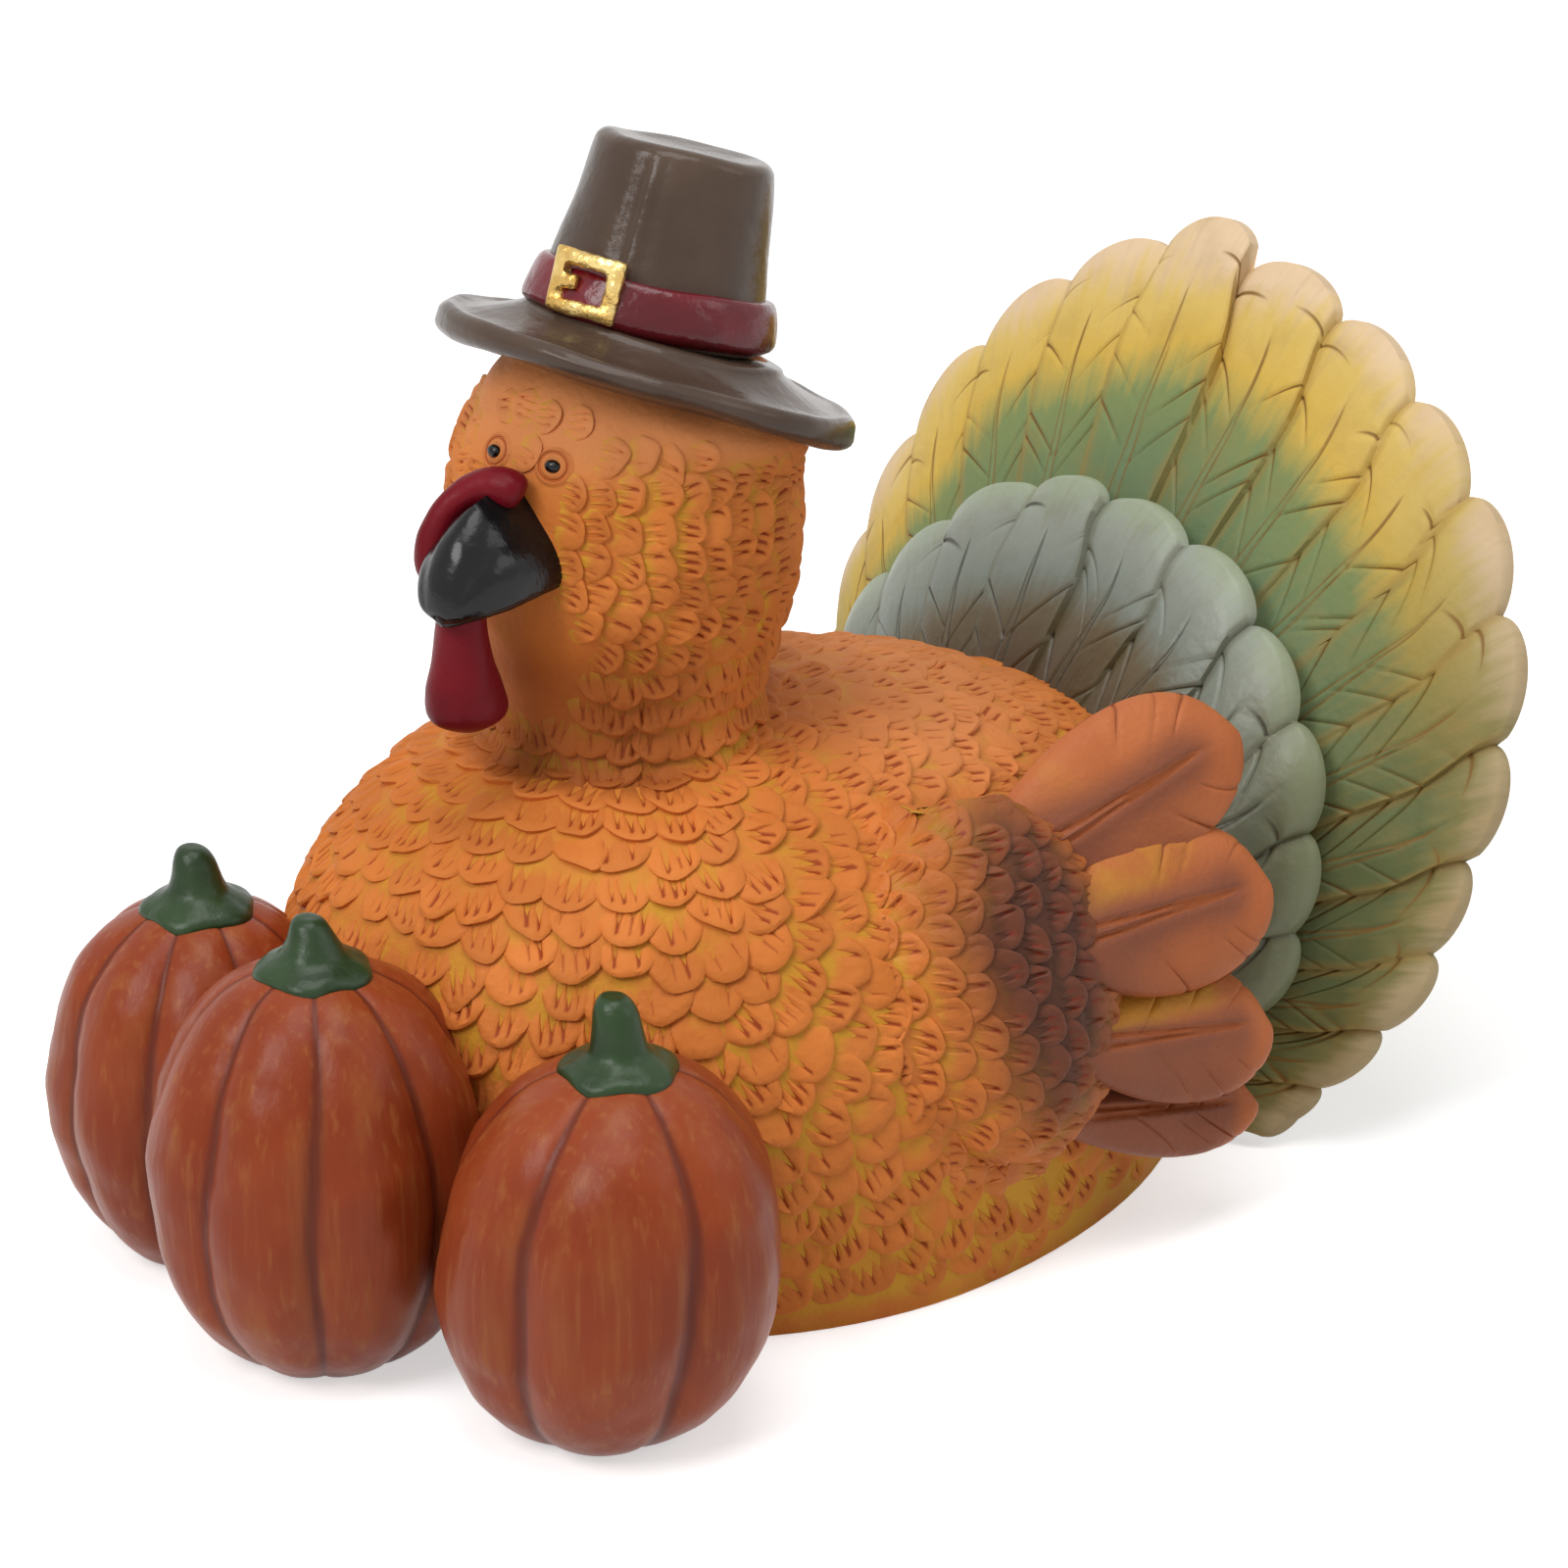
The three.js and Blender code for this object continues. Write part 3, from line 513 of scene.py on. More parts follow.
# the body: meridians fall from the neck, swell and tuck in to the flat base
bodyForm = {
    "neckY": -4.4, "middleY": 5.3, "shoulderHeight": 49.7, "shoulderRadius": 4.0,
    "reach": {"front": 43.8, "side": 36.9, "back": 52.0},
    "full": {"front": 26.0, "side": 17.7, "back": 23.0},
    "base": {"front": 0.86, "side": 0.98, "back": 0.985},
    "tuck": math.radians(62),
    "inset": 0.3,  # the skin lies this far under the scales
    "floorFrom": 0.94,  # the last rings of the sphere make the flat base
    "gapYellow": (0.74, 0.56),  # between the scales, low and high on the body
}
bodyScales = {"halfWidth": 2.95, "length": 5.9, "lift": 0.66, "strokeDepth": 0.38, "twist": 0.17,
              "pitch": 4.4, "rowStep": 3.35, "rim": 2.2, "yellow": 0.95,
              "rays": 180, "steps": 90, "neckClear": 11.5, "jitter": 0.3, "lowLift": 0.55}


def bodyBlend(sizes, angle):
    ahead = math.cos(angle)
    return mix(sizes["side"], sizes["front"] if ahead > 0 else sizes["back"], ahead * ahead)


def bodyPoint(share, angle):
    full = bodyBlend(bodyForm["full"], angle)
    last = bodyForm["tuck"]
    upper = share <= 0.5
    arc = share * math.pi if upper else (share - 0.5) * 2 * last
    spread = math.sin(arc) if upper else 1
    tuck = 0 if upper else (1 - math.cos(arc)) / (1 - math.cos(last))
    if upper:
        height = mix(full, bodyForm["shoulderHeight"], math.cos(arc))
    else:
        height = full * (1 - math.sin(arc) / math.sin(last))
    reach = bodyForm["reach"]
    far = reach["front"] if math.cos(angle) > 0 else reach["back"]
    scale = mix(1, bodyBlend(bodyForm["base"], angle), tuck)
    x = mix(bodyForm["shoulderRadius"], reach["side"], spread) * scale * math.sin(angle)
    centre = mix(bodyForm["neckY"], bodyForm["middleY"], spread)
    y = centre - mix(bodyForm["shoulderRadius"], far, spread) * scale * math.cos(angle)
    return Vector((x, y, height))


def bodySkin():
    bm, marks = newCarving()
    bmesh.ops.create_uvsphere(bm, u_segments=96, v_segments=64, radius=1)
    floorFrom = bodyForm["floorFrom"]
    for v in bm.verts:
        polar = math.acos(max(-1.0, min(1.0, v.co.z))) / math.pi
        angle = math.atan2(v.co.x, -v.co.y)
        share = min(1.0, polar / floorFrom)
        point = bodyPoint(share, angle)
        if polar > floorFrom:
            point = point.lerp(Vector((0, bodyForm["middleY"], 0)), (polar - floorFrom) / (1 - floorFrom))
        v.co = point
        v[marks["hollow"]] = mix(*bodyForm["gapYellow"], ease(26, 42, point.z)) - 0.4 * ease(3, 1.2, point.z)
        v[marks["tone"]] = 0.5
    bmesh.ops.recalc_face_normals(bm, faces=bm.faces)
    bm.normal_update()
    for v in bm.verts:
        inward = v.normal * bodyForm["inset"]
        v.co -= Vector((inward.x, inward.y, max(0, inward.z)))
    return bm


def bodyHeading(point):  # down on the breast, backwards on the flanks
    angle = abs(math.atan2(point.x, -(point.y - bodyForm["middleY"])))
    back = ease(math.radians(38), math.radians(78), angle)
    down = mix(1.0, mix(1.5, 0.32, ease(13, 27, point.z)), back)
    return Vector((0, back, -down))


def ringWalk(ring, pitch, offset):  # evenly spaced places along a broken ring
    gaps = [(b - a).length if a and b else 0 for a, b in zip(ring, ring[1:] + ring[:1])]
    total = sum(gaps)
    step = total / max(1, round(total / pitch))
    walked = step * offset
    for here, there, gap in zip(ring, ring[1:] + ring[:1], gaps):
        if gap:
            walked += gap
            if walked >= step:
                walked -= step
                yield there.lerp(here, walked / gap)


def bodySpots(rng):
    tables = []
    rays, steps, clear = bodyScales["rays"], bodyScales["steps"], bodyScales["neckClear"]
    for i in range(rays):
        angle = math.pi + 2 * math.pi * i / rays
        path = [bodyPoint(k / steps, angle) for k in range(steps + 1)]
        path = [p for p in path if math.hypot(p.x, p.y - headForm["y"]) > clear and p.z > bodyScales["rim"]]
        walked, table = 0.0, []
        for before, here in zip(path[:1] + path, path):
            walked += (here - before).length
            table.append((walked, here))
        tables.append(table)

    def pointAt(table, distance):
        for (near, a), (far, b) in zip(table, table[1:]):
            if near <= distance <= far:
                return a.lerp(b, (distance - near) / (far - near))
        return None

    for row in range(40):
        ring = [pointAt(table, row * bodyScales["rowStep"]) for table in tables]
        if not any(ring):
            break
        for point in ringWalk(ring, bodyScales["pitch"], 0.5 * (row % 2)):
            nudged = point + Vector([rng.gauss(0, bodyScales["jitter"]) for _ in range(3)])
            lift = mix(bodyScales["lowLift"], 1, ease(2, 8, nudged.z))
            yield nudged, bodyHeading(nudged), rng.uniform(0.92, 1.06), lift


# the head and neck, turned to look aside
headForm = {
    "y": -6.0, "turn": math.radians(10), "inset": 0.65, "flare": 2.0, "cap": 0.04,
    "outline": ((14.5, 46.6), (13.0, 51.5), (16.2, 65.5), (15.2, 76.4), (9.5, 85.5)),
}
headScales = {"halfWidth": 2.4, "length": 4.9, "lift": 0.72, "strokeDepth": 0.36, "twist": 0.2,
              "pitch": 2.8, "rowStep": 3.0, "yellow": 1.5, "firstRow": 48.2, "rows": 13, "clear": 2.6,
              "bareNose": (0.31, 64, 77), "bareThroat": (0.42, 52, 65)}  # half angle, from and to height
eyeForm = {"angles": {"left": math.radians(13.3), "right": math.radians(-13.8)}, "height": 77.5, "ring": 1.35,
           "collar": 2.1, "relief": 0.42, "halfWidth": 0.76, "halfDepth": 0.55, "halfHeight": 0.6, "out": 0.2}
hatForm = {
    "middle": (0.2, -3.4, 81.4), "lean": math.radians(18),
    "brimRadius": 19.4, "brimEdge": 1.2, "brimRise": 3.4, "brimDrop": 1.7, "seatRadius": 13.8,
    "crownFoot": 10.5, "crownTop": 8.1, "crownHeight": 16.8,
    "brimTilt": 0.058, "tiltAxis": (0.676, 0.737), "brimLift": 0.4, "crownShift": (-0.55, -0.6, 0.2),
    "runAngle": math.radians(30), "bandLift": 0.4, "bandHeight": 4.4, "bandThick": 1.0,
}

headTable = [along(headForm["outline"], k / 120) for k in range(121)]


def headRadius(height):
    for a, b in zip(headTable, headTable[1:]):
        if a[1] <= height <= b[1]:
            return mix(a[0], b[0], (height - a[1]) / (b[1] - a[1]))
    return headTable[0][0] if height < headTable[0][1] else headTable[-1][0]


def facing(angle):  # level direction at an angle from the face, to the bird's left
    return Vector((math.sin(headForm["turn"] + angle), -math.cos(headForm["turn"] + angle), 0))


def headPoint(angle, height, out=0.0):
    return facing(angle) * (headRadius(height) - headForm["inset"] + out) + Vector((0, headForm["y"], height))


def brimHeight(point):  # underside of the brim over a point
    _, y, z = hatForm["middle"]
    return z - (point.y - y) * math.tan(hatForm["lean"]) - hatForm["brimDrop"]


def headSkin():
    bm, marks = newCarving()
    cap = headForm["cap"]  # share of the sphere that closes each end
    bmesh.ops.create_uvsphere(bm, u_segments=112, v_segments=80, radius=1)
    for v in bm.verts:
        polar = 1 - math.acos(max(-1.0, min(1.0, v.co.z))) / math.pi
        angle = math.atan2(v.co.x, -v.co.y)
        share = (polar - cap) / (1 - 2 * cap)
        spot = along(headForm["outline"], min(1, max(0, share)))
        radius = spot[0] * min(1, polar / cap, (1 - polar) / cap)
        point = facing(angle) * max(0, radius - headForm["inset"]) + Vector((0, headForm["y"], spot[1]))
        throat = ease(0.55, 0.3, abs(angle)) * ease(67, 64, spot[1])
        under = ease(5, 1.0, brimHeight(point) - point.z)
        aside = ease(0.5, 1.3, angle) + 0.25 * ease(-0.5, -1.3, angle)
        flare = headForm["flare"] * under * aside * ease(84, 81, spot[1])
        point += facing(angle) * (0.22 * lumps(point, 3.2, 4) + 0.3 * throat + flare)
        v.co = point
        face = ease(1.0, 0.5, abs(angle))
        v[marks["hollow"]] = 0.62 - 0.45 * max(under, face * 0.7)
        v[marks["tone"]] = 0.5
        # painted shade near the neck
        v[marks["washAndShade"]] = neckShade(point)
    bmesh.ops.remove_doubles(bm, verts=bm.verts, dist=0.001)
    bmesh.ops.recalc_face_normals(bm, faces=bm.faces)
    return bm


def headSpots(rng):
    nose, throat = headScales["bareNose"], headScales["bareThroat"]
    eyes = [headPoint(angle, eyeForm["height"]) for angle in eyeForm["angles"].values()]
    for row in range(headScales["rows"]):
        height = headScales["firstRow"] + row * headScales["rowStep"]
        radius = headRadius(height)
        count = round(2 * math.pi * radius / headScales["pitch"])
        for i in range(count):
            angle = (i + 0.5 * (row % 2) + rng.uniform(-0.16, 0.16)) * 2 * math.pi / count - math.pi
            z = height + rng.uniform(-0.5, 0.5)
            point = headPoint(angle, z)
            clear = brimHeight(point) - z
            bare = any(abs(angle) < half and low < z < high for half, low, high in (nose, throat))
            near = min(clear, *((point - eye).length for eye in eyes))
            if bare or near < headScales["clear"]:
                continue
            back = ease(53, 64, z) * ease(math.pi, math.pi - 0.5, abs(angle))
            away = facing(angle + math.pi / 2) * (1 if angle > 0 else -1)
            heading = away * back + Vector((0, 0, -1)) * mix(1, 0.2, back)
            smooth = max(ease(6.5, 3, clear), ease(0.9, 0.5, abs(angle)) * ease(66, 70, z))
            yield point, heading, mix(1.0, 0.86, smooth), mix(1.0, 0.62, smooth)


rng = random.Random(11)
bm = bodySkin()
bodySurface = BVHTree.FromBMesh(bm)

wingForm = {
    "at": (33.0, 8.0, 26.0), "flare": math.radians(10), "lean": math.radians(20),
    "coverts": (0.0, 1.5, 3.0), "half": (7.3, 12.5, 17.5),
    "patchMiddle": (9.0, 26.5), "patchHalf": (14.5, 18.5),  # where coverts are laid, along Y and Z
    "blend": 2.2, "patchLift": 0.1, "skirt": 0.8, "seeds": {"left": 31, "right": 32},
}
wingScales = {"halfWidth": 2.5, "length": 5.0, "lift": 0.62, "strokeDepth": 0.38, "twist": 0.12,
              "pitch": 3.8, "rowStep": 2.9, "yellow": 1.2}
wingTurn = Matrix.Rotation(-wingForm["lean"], 4, "Y") @ Matrix.Rotation(-wingForm["flare"], 4, "Z")
wingFrame = Matrix.Translation(wingForm["at"]) @ wingTurn


def patchShare(y, z):  # below 1 where the coverts lie
    (my, mz), (hy, hz) = wingForm["patchMiddle"], wingForm["patchHalf"]
    return math.hypot((y - my) / hy, (z - mz) / hz)


bodyPlaces = [spot for spot in bodySpots(rng) if abs(spot[0].x) < 12 or patchShare(spot[0].y, spot[0].z) > 0.93]
layScales(bm, bodySurface, bodyPlaces, bodyScales, rng)
finishPiece(bm, "bodyPlumage", plumagePaint, ["body"])
print("body scales", len(bodyPlaces))

bm = headSkin()
headSurface = BVHTree.FromBMesh(bm)
headPlaces = list(headSpots(rng))
layScales(bm, headSurface, headPlaces, headScales, rng)
finishPiece(bm, "headPlumage", plumagePaint, ["head"])
print("head scales", len(headPlaces))


# eyes: a black bead in a ringed collar
def eyeCollar(bm, marks, angle):
    middle = headPoint(angle, eyeForm["height"])
    side = facing(angle + math.pi / 2)
    start = len(bm.verts)
    bmesh.ops.create_grid(bm, x_segments=18, y_segments=18, size=1)
    bm.verts.ensure_lookup_table()
    for v in bm.verts[start:]:
        x, y = onDisc(v.co.x, v.co.y)
        far = math.hypot(x, y) * eyeForm["collar"]
        groove = bell(far - eyeForm["ring"], 0.2)
        rise = eyeForm["relief"] * (ease(eyeForm["collar"], 1.5, far) - groove) - 0.2 * ease(1.2, 0.5, far)
        away = side * x * eyeForm["collar"] + Vector((0, 0, y * eyeForm["collar"]))
        spot, out, _, _ = headSurface.find_nearest(middle + away)
        v.co = spot + out * (rise - 0.06)
        v[marks["cut"]] = groove * 0.95
        v[marks["tone"]] = 0.5


bm, marks = newCarving()
for angle in eyeForm["angles"].values():
    eyeCollar(bm, marks, angle)
bmesh.ops.recalc_face_normals(bm, faces=bm.faces)
finishPiece(bm, "eyeCollars", plumagePaint, [])

for side, angle in eyeForm["angles"].items():
    bm = bmesh.new()
    bmesh.ops.create_uvsphere(bm, u_segments=24, v_segments=14, radius=1)
    turn = Matrix.Rotation(headForm["turn"] + angle, 4, "Z")
    size = Matrix.Diagonal((eyeForm["halfWidth"], eyeForm["halfDepth"], eyeForm["halfHeight"], 1))
    stand = Matrix.Translation(headPoint(angle, eyeForm["height"], eyeForm["out"]))
    bmesh.ops.transform(bm, matrix=stand @ turn @ size, verts=bm.verts)
    finishPiece(bm, "eye" + side.capitalize(), blackPaint, ["eye_" + side])

# the beak: an arched upper bill with a valley on each cheek, and a thin lower bill
beakForm = {
    "ridge": ((12.0, 75.0), (16.0, 75.5), (19.2, 75.5), (21.6, 74.7),  # forward and up
              (24.0, 72.6), (25.7, 69.6), (26.2, 67.0), (25.5, 65.4)),
    "mouth": ((12.0, 67.4), (16.0, 67.5), (18.4, 67.4), (20.6, 67.2),
              (22.6, 67.0), (24.2, 66.6), (25.2, 66.0), (25.5, 65.4)),
    "halfWidth": ((4.9, 0), (5.1, 0), (5.0, 0), (4.8, 0), (4.3, 0), (3.4, 0), (2.2, 0), (0.02, 0)),
    "valley": 0.6, "squareness": 0.85, "lowerShare": 0.9,
}
faceFrame = Matrix.Translation((0, headForm["y"], 0)) @ Matrix.Rotation(headForm["turn"], 4, "Z")


def onFace(x, forward, height):
    return faceFrame @ Vector((x, -forward, height))


def upperBill(u, t):
    angle = 2 * math.pi * u
    ridge, mouth = along(beakForm["ridge"], t), along(beakForm["mouth"], t)
    wide = along(beakForm["halfWidth"], t)[0]
    arch, across = math.sin(angle), math.cos(angle)
    square = abs(across) ** beakForm["squareness"]
    if arch > 0:  # a roof at the root turns to a round arch at the tip
        rise = mix(1 - square, arch ** 0.72, mix(0.5, 0.95, ease(0.15, 0.75, t)))
    else:
        rise = 0.14 * arch
    valley = beakForm["valley"] * bell(abs(across) - 0.62, 0.26) * max(0, arch) * math.sin(math.pi * t) ** 0.8
    spot = mouth.lerp(ridge, rise)
    x = wide * math.copysign(square, across)
    x *= 1 - 0.16 * valley * (1 - abs(x) / 7)
    return onFace(x, spot[0] - valley * 0.35, spot[1] - valley * 0.8)


def lowerBill(u, t):
    angle = 2 * math.pi * u
    reach = t * beakForm["lowerShare"]
    mouth = along(beakForm["mouth"], reach)
    wide = (along(beakForm["halfWidth"], reach)[0] - 0.15) * math.sqrt(max(0, 1 - t ** 6))
    lip = 0.25 + 1.15 * math.sqrt(max(0, 1 - t ** 3))
    z = mouth[1] - 0.25 + (0.35 if math.sin(angle) > 0 else lip) * math.sin(angle)
    return onFace(wide * math.cos(angle), mouth[0], z)


finishPiece(wrapped(56, 48, upperBill), "beakUpper", blackPaint, ["beak_upper"], 60)
finishPiece(wrapped(48, 32, lowerBill), "beakLower", blackPaint, ["beak_lower"], 60)

# the snood hangs over the bird's right of the beak, the wattle below it
snoodForm = {
    "path": ((1.9, 16.4, 75.0), (0.7, 16.9, 75.6), (-1.0, 17.4, 75.7), (-2.7, 18.4, 75.0),
             (-4.0, 19.7, 73.4), (-4.6, 20.8, 71.2), (-4.6, 21.2, 68.9), (-4.2, 20.8, 67.0)),
    "thick": 1.6,
}
wattleForm = {
    "path": ((-0.6, 21.6, 67.0), (-0.8, 21.9, 64.0), (-1.0, 21.6, 60.6),
             (-1.2, 21.2, 57.8), (-1.2, 20.7, 55.2), (-1.2, 20.4, 53.4)),
    "halfDepth": ((2.1, 0), (2.3, 0), (2.9, 0), (3.8, 0), (3.8, 0), (0.5, 0)),
    "halfWidth": ((2.1, 0), (2.3, 0), (2.7, 0), (3.2, 0), (3.1, 0), (0.4, 0)),
}


def snoodSkin(u, t):
    angle = 2 * math.pi * u
    here, before, after = (along(snoodForm["path"], s) for s in (t, max(0, t - 0.02), min(1, t + 0.02)))
    run = (after - before).normalized()
    side = run.cross(Vector((0.3, 0.2, 1))).normalized()
    up = side.cross(run)
    ends = math.sqrt(max(0, 1 - abs(2 * t - 1) ** 10))
    wide = snoodForm["thick"] * ends * (1.12 - 0.25 * t + 0.1 * math.sin(9 * t))
    spot = here + side * (wide * math.cos(angle)) + up * (wide * math.sin(angle))
    spot += Vector((0, 0, 0.12 * lumps(spot, 1.6, 2)))
    return onFace(*spot)


def wattleSkin(u, t):
    angle = 2 * math.pi * u
    here = along(wattleForm["path"], t)
    ends = math.sqrt(max(0, 1 - abs(2 * t - 1) ** 14))
    deep, wide = along(wattleForm["halfDepth"], t)[0] * ends, along(wattleForm["halfWidth"], t)[0] * ends
    spot = here + Vector((wide * math.cos(angle), deep * math.sin(angle), 0))
    return onFace(*(spot + Vector((1, 1, 0)) * 0.15 * lumps(spot, 3, 5)))


finishPiece(wrapped(28, 48, snoodSkin), "snoodFlesh", redPaint, ["snood"])
finishPiece(wrapped(40, 40, wattleSkin), "wattleFlesh", redPaint, ["wattle"])
print("face ready")


# the hat: profiles spun about its own leaning axis
hatFrame = Matrix.Translation(hatForm["middle"]) @ Matrix.Rotation(-hatForm["lean"], 4, "X")
crownFrame = Matrix.Translation(hatForm["crownShift"]) @ hatFrame


def spun(profile, steps=96, rounds=3):  # an outline of (radius, height) turned full circle
    bm = bmesh.new()
    count = rounds * (len(profile) - 1)
    outline = [along(profile, k / count) for k in range(count + 1)]
    chain = [bm.verts.new((radius, 0, height)) for radius, height in outline]
    edges = [bm.edges.new(pair) for pair in zip(chain, chain[1:])]
    bmesh.ops.spin(bm, geom=chain + edges, axis=(0, 0, 1), cent=(0, 0, 0), steps=steps,
                   angle=2 * math.pi, use_merge=True)
    bmesh.ops.remove_doubles(bm, verts=bm.verts, dist=0.01)
    bmesh.ops.recalc_face_normals(bm, faces=bm.faces)
    return bm


def hatPiece(bm, wobble, seed, stand):
    for v in bm.verts:
        spot = v.co.copy()
        v.co += Vector((spot.x, spot.y, 0)).normalized() * wobble * lumps(spot, 6, seed)
        v.co.z += wobble * lumps(spot, 7, seed + 9)
    bmesh.ops.transform(bm, matrix=stand, verts=bm.verts)
    return bm


crownBase = hatForm["brimRise"] + 0.3


def crownRadius(height):
    return mix(hatForm["crownFoot"], hatForm["crownTop"], (height - crownBase) / hatForm["crownHeight"])


edge = hatForm["brimEdge"]
brim = hatForm["brimRadius"]
drop, rise = -hatForm["brimDrop"], hatForm["brimRise"]
brimLine = ((0, drop), (6, drop), (hatForm["seatRadius"], -1.6), (17.2, -1.2), (brim - 0.8, -1.0),
            (brim, 0.1), (brim - 0.7, edge), (17.2, 1.0), (14.6, 1.6), (12.4, 2.6), (11.4, 3.3), (6, rise), (0, rise))
bm = spun(brimLine)
for v in bm.verts:  # the brim is tilted to the bird's left and hangs thicker at both ends
    ends = Vector(hatForm["tiltAxis"]).dot(v.co.xy) / brim
    outer = ease(13, 18, math.hypot(v.co.x, v.co.y))
    droop = (0.6 - 1.8 * ends * ends) if v.co.z < 0.5 else (0.2 - 0.5 * ends * ends)
    v.co.z += hatForm["brimLift"] - hatForm["brimTilt"] * brim * ends + outer * droop
bm = hatPiece(bm, 0.25, 3, hatFrame)
finishPiece(bm, "hatBrim", hatPaint, ["hat_brim"], 70)

rim = crownBase + hatForm["crownHeight"]
crownTop = hatForm["crownTop"]
crownSide = tuple((crownRadius(height), height) for height in (crownBase, 7, 11, 15, rim - 1.6))
crownLid = ((crownTop - 0.15, rim - 0.5), (crownTop - 1.1, rim), (5, rim - 0.2), (2, rim - 0.3), (0, rim - 0.3))
bm = spun(((0, crownBase), (8, crownBase)) + crownSide + crownLid)
for v in bm.verts:  # a run of thick paint down the front
    angle = math.atan2(v.co.x, -v.co.y) - hatForm["runAngle"]
    run = 0.4 * bell(angle, 0.06) - 0.25 * bell(angle + 0.14, 0.05) + 0.2 * bell(angle - 0.22, 0.08)
    v.co += Vector((v.co.x, v.co.y, 0)).normalized() * run * ease(rim, rim - 3, v.co.z) * ease(7, 10, v.co.z)
bm = hatPiece(bm, 0.3, 7, crownFrame)
finishPiece(bm, "hatCrown", hatPaint, ["hat_crown"], 70)

foot = crownBase + hatForm["bandLift"]
top = foot + hatForm["bandHeight"]
thick = hatForm["bandThick"]
footRadius, topRadius = crownRadius(foot), crownRadius(top)
bandLine = ((topRadius - 0.4, top), (topRadius + 0.7 * thick, top), (topRadius + 1.25 * thick, top - 0.7),
            (crownRadius(foot + 2) + 1.35 * thick, foot + 2.2), (footRadius + 1.25 * thick, foot + 0.7),
            (footRadius + 0.7 * thick, foot), (footRadius - 0.4, foot), (topRadius - 0.4, top))
bm = hatPiece(spun(bandLine), 0.3, 12, crownFrame)
finishPiece(bm, "hatBand", bandPaint, ["hat_band"])

buckleForm = {"width": 6.9, "height": 5.8, "rim": 1.3, "depth": 1.3, "turn": math.radians(14), "lift": 0.9}


def buckle():
    bm = bmesh.new()
    bmesh.ops.create_grid(bm, x_segments=10, y_segments=8, size=1)
    half = (buckleForm["width"] / 2, buckleForm["height"] / 2)
    inner = (half[0] - buckleForm["rim"], half[1] - buckleForm["rim"])
    for v in bm.verts:
        v.co.x *= half[0]
        v.co.y *= half[1]

    def inHole(face):  # inside the rim, but not on the tongue
        x, y, _ = face.calc_center_median()
        return abs(x) < inner[0] and abs(y) < inner[1] and not (abs(y) < 0.6 and x < -0.9)

    bmesh.ops.delete(bm, geom=[face for face in bm.faces if inHole(face)], context="FACES")
    grown = bmesh.ops.extrude_face_region(bm, geom=bm.faces[:], use_keep_orig=True)["geom"]
    raised = [part for part in grown if isinstance(part, bmesh.types.BMVert)]
    bmesh.ops.translate(bm, vec=(0, 0, buckleForm["depth"]), verts=raised)
    bmesh.ops.recalc_face_normals(bm, faces=bm.faces)
    bmesh.ops.subdivide_edges(bm, edges=bm.edges[:], cuts=1, use_grid_fill=True)
    for _ in range(3):
        bmesh.ops.smooth_vert(bm, verts=bm.verts, factor=0.5, use_axis_x=True, use_axis_y=True, use_axis_z=True)
    middle = (foot + top) / 2 + buckleForm["lift"]
    radius = crownRadius(middle) + 1.0
    for v in bm.verts:
        v.co += Vector((0.2, 0.2, 0.2)) * lumps(v.co, 1.1, 6)
        angle = v.co.x / radius
        far = radius + v.co.z
        v.co = (far * math.sin(angle), -far * math.cos(angle), middle + v.co.y)
    bmesh.ops.rotate(bm, cent=(0, 0, 0), matrix=Matrix.Rotation(buckleForm["turn"], 3, "Z"), verts=bm.verts)
    bmesh.ops.transform(bm, matrix=crownFrame, verts=bm.verts)
    return bm


finishPiece(buckle(), "hatBuckle", goldPaint, ["hat_buckle"], 60)
print("hat ready")


# cuts in the feathers: splits that run from an edge in towards the quill and the root
slitForm = {"chevron": 6.5, "reach": (3.2, 5.6), "width": 0.5, "depth": 0.36}

# wings: scaled coverts and four broad feathers, the upper over the lower
flightForm = {
    "feathers": (
        {"root": (0.2, 2, 11.0), "tip": (1.8, 31.5, 18), "width": 15.5, "brown": 0.5, "yellow": 0.3},
        {"root": (4, 4, 4.5), "tip": (2.2, 31, 3.5), "width": 15.5, "brown": 0.35, "yellow": 0.6},
        {"root": (3, 5, -5), "tip": (0.5, 28.6, -9.6), "width": 13, "brown": 0.7, "yellow": 1.0},
        {"root": (0, 4, -11.5), "tip": (-2.5, 27, -16.8), "width": 9, "brown": 0.9, "yellow": 0.2},
    ),
    "thick": 2.6, "crown": 1.1, "tilt": 1.0, "rootShare": 0.3, "shoulder": 0.6, "quill": 0.45,
    "columns": 44, "rows": 72, "cuts": 3,
}


def slitDepth(cuts, c, share, inside, length):  # how deep a point lies in a feather's cuts, 0 to 1
    deepest = 0.0
    for side, start, reach, strength in cuts:
        taper = 1 - inside / reach
        if side * c > 0 and taper > 0:
            gap = abs(share - start) * length / (slitForm["width"] * taper ** 0.5)
            deepest = max(deepest, strength * taper ** 0.4 * (1 - gap))
    return deepest


def slits(rng, count, low, high, rows, rowPlace):  # cuts from both edges, each along one row of the grid
    cuts = []
    for side in (-1, 1):
        for k in range(count):
            row = round(mix(low, high, (k + rng.uniform(0.15, 0.85)) / count) * rows) / rows
            cuts.append((side, rowPlace(row), rng.uniform(*slitForm["reach"]), rng.uniform(0.6, 1.0)))
    return cuts


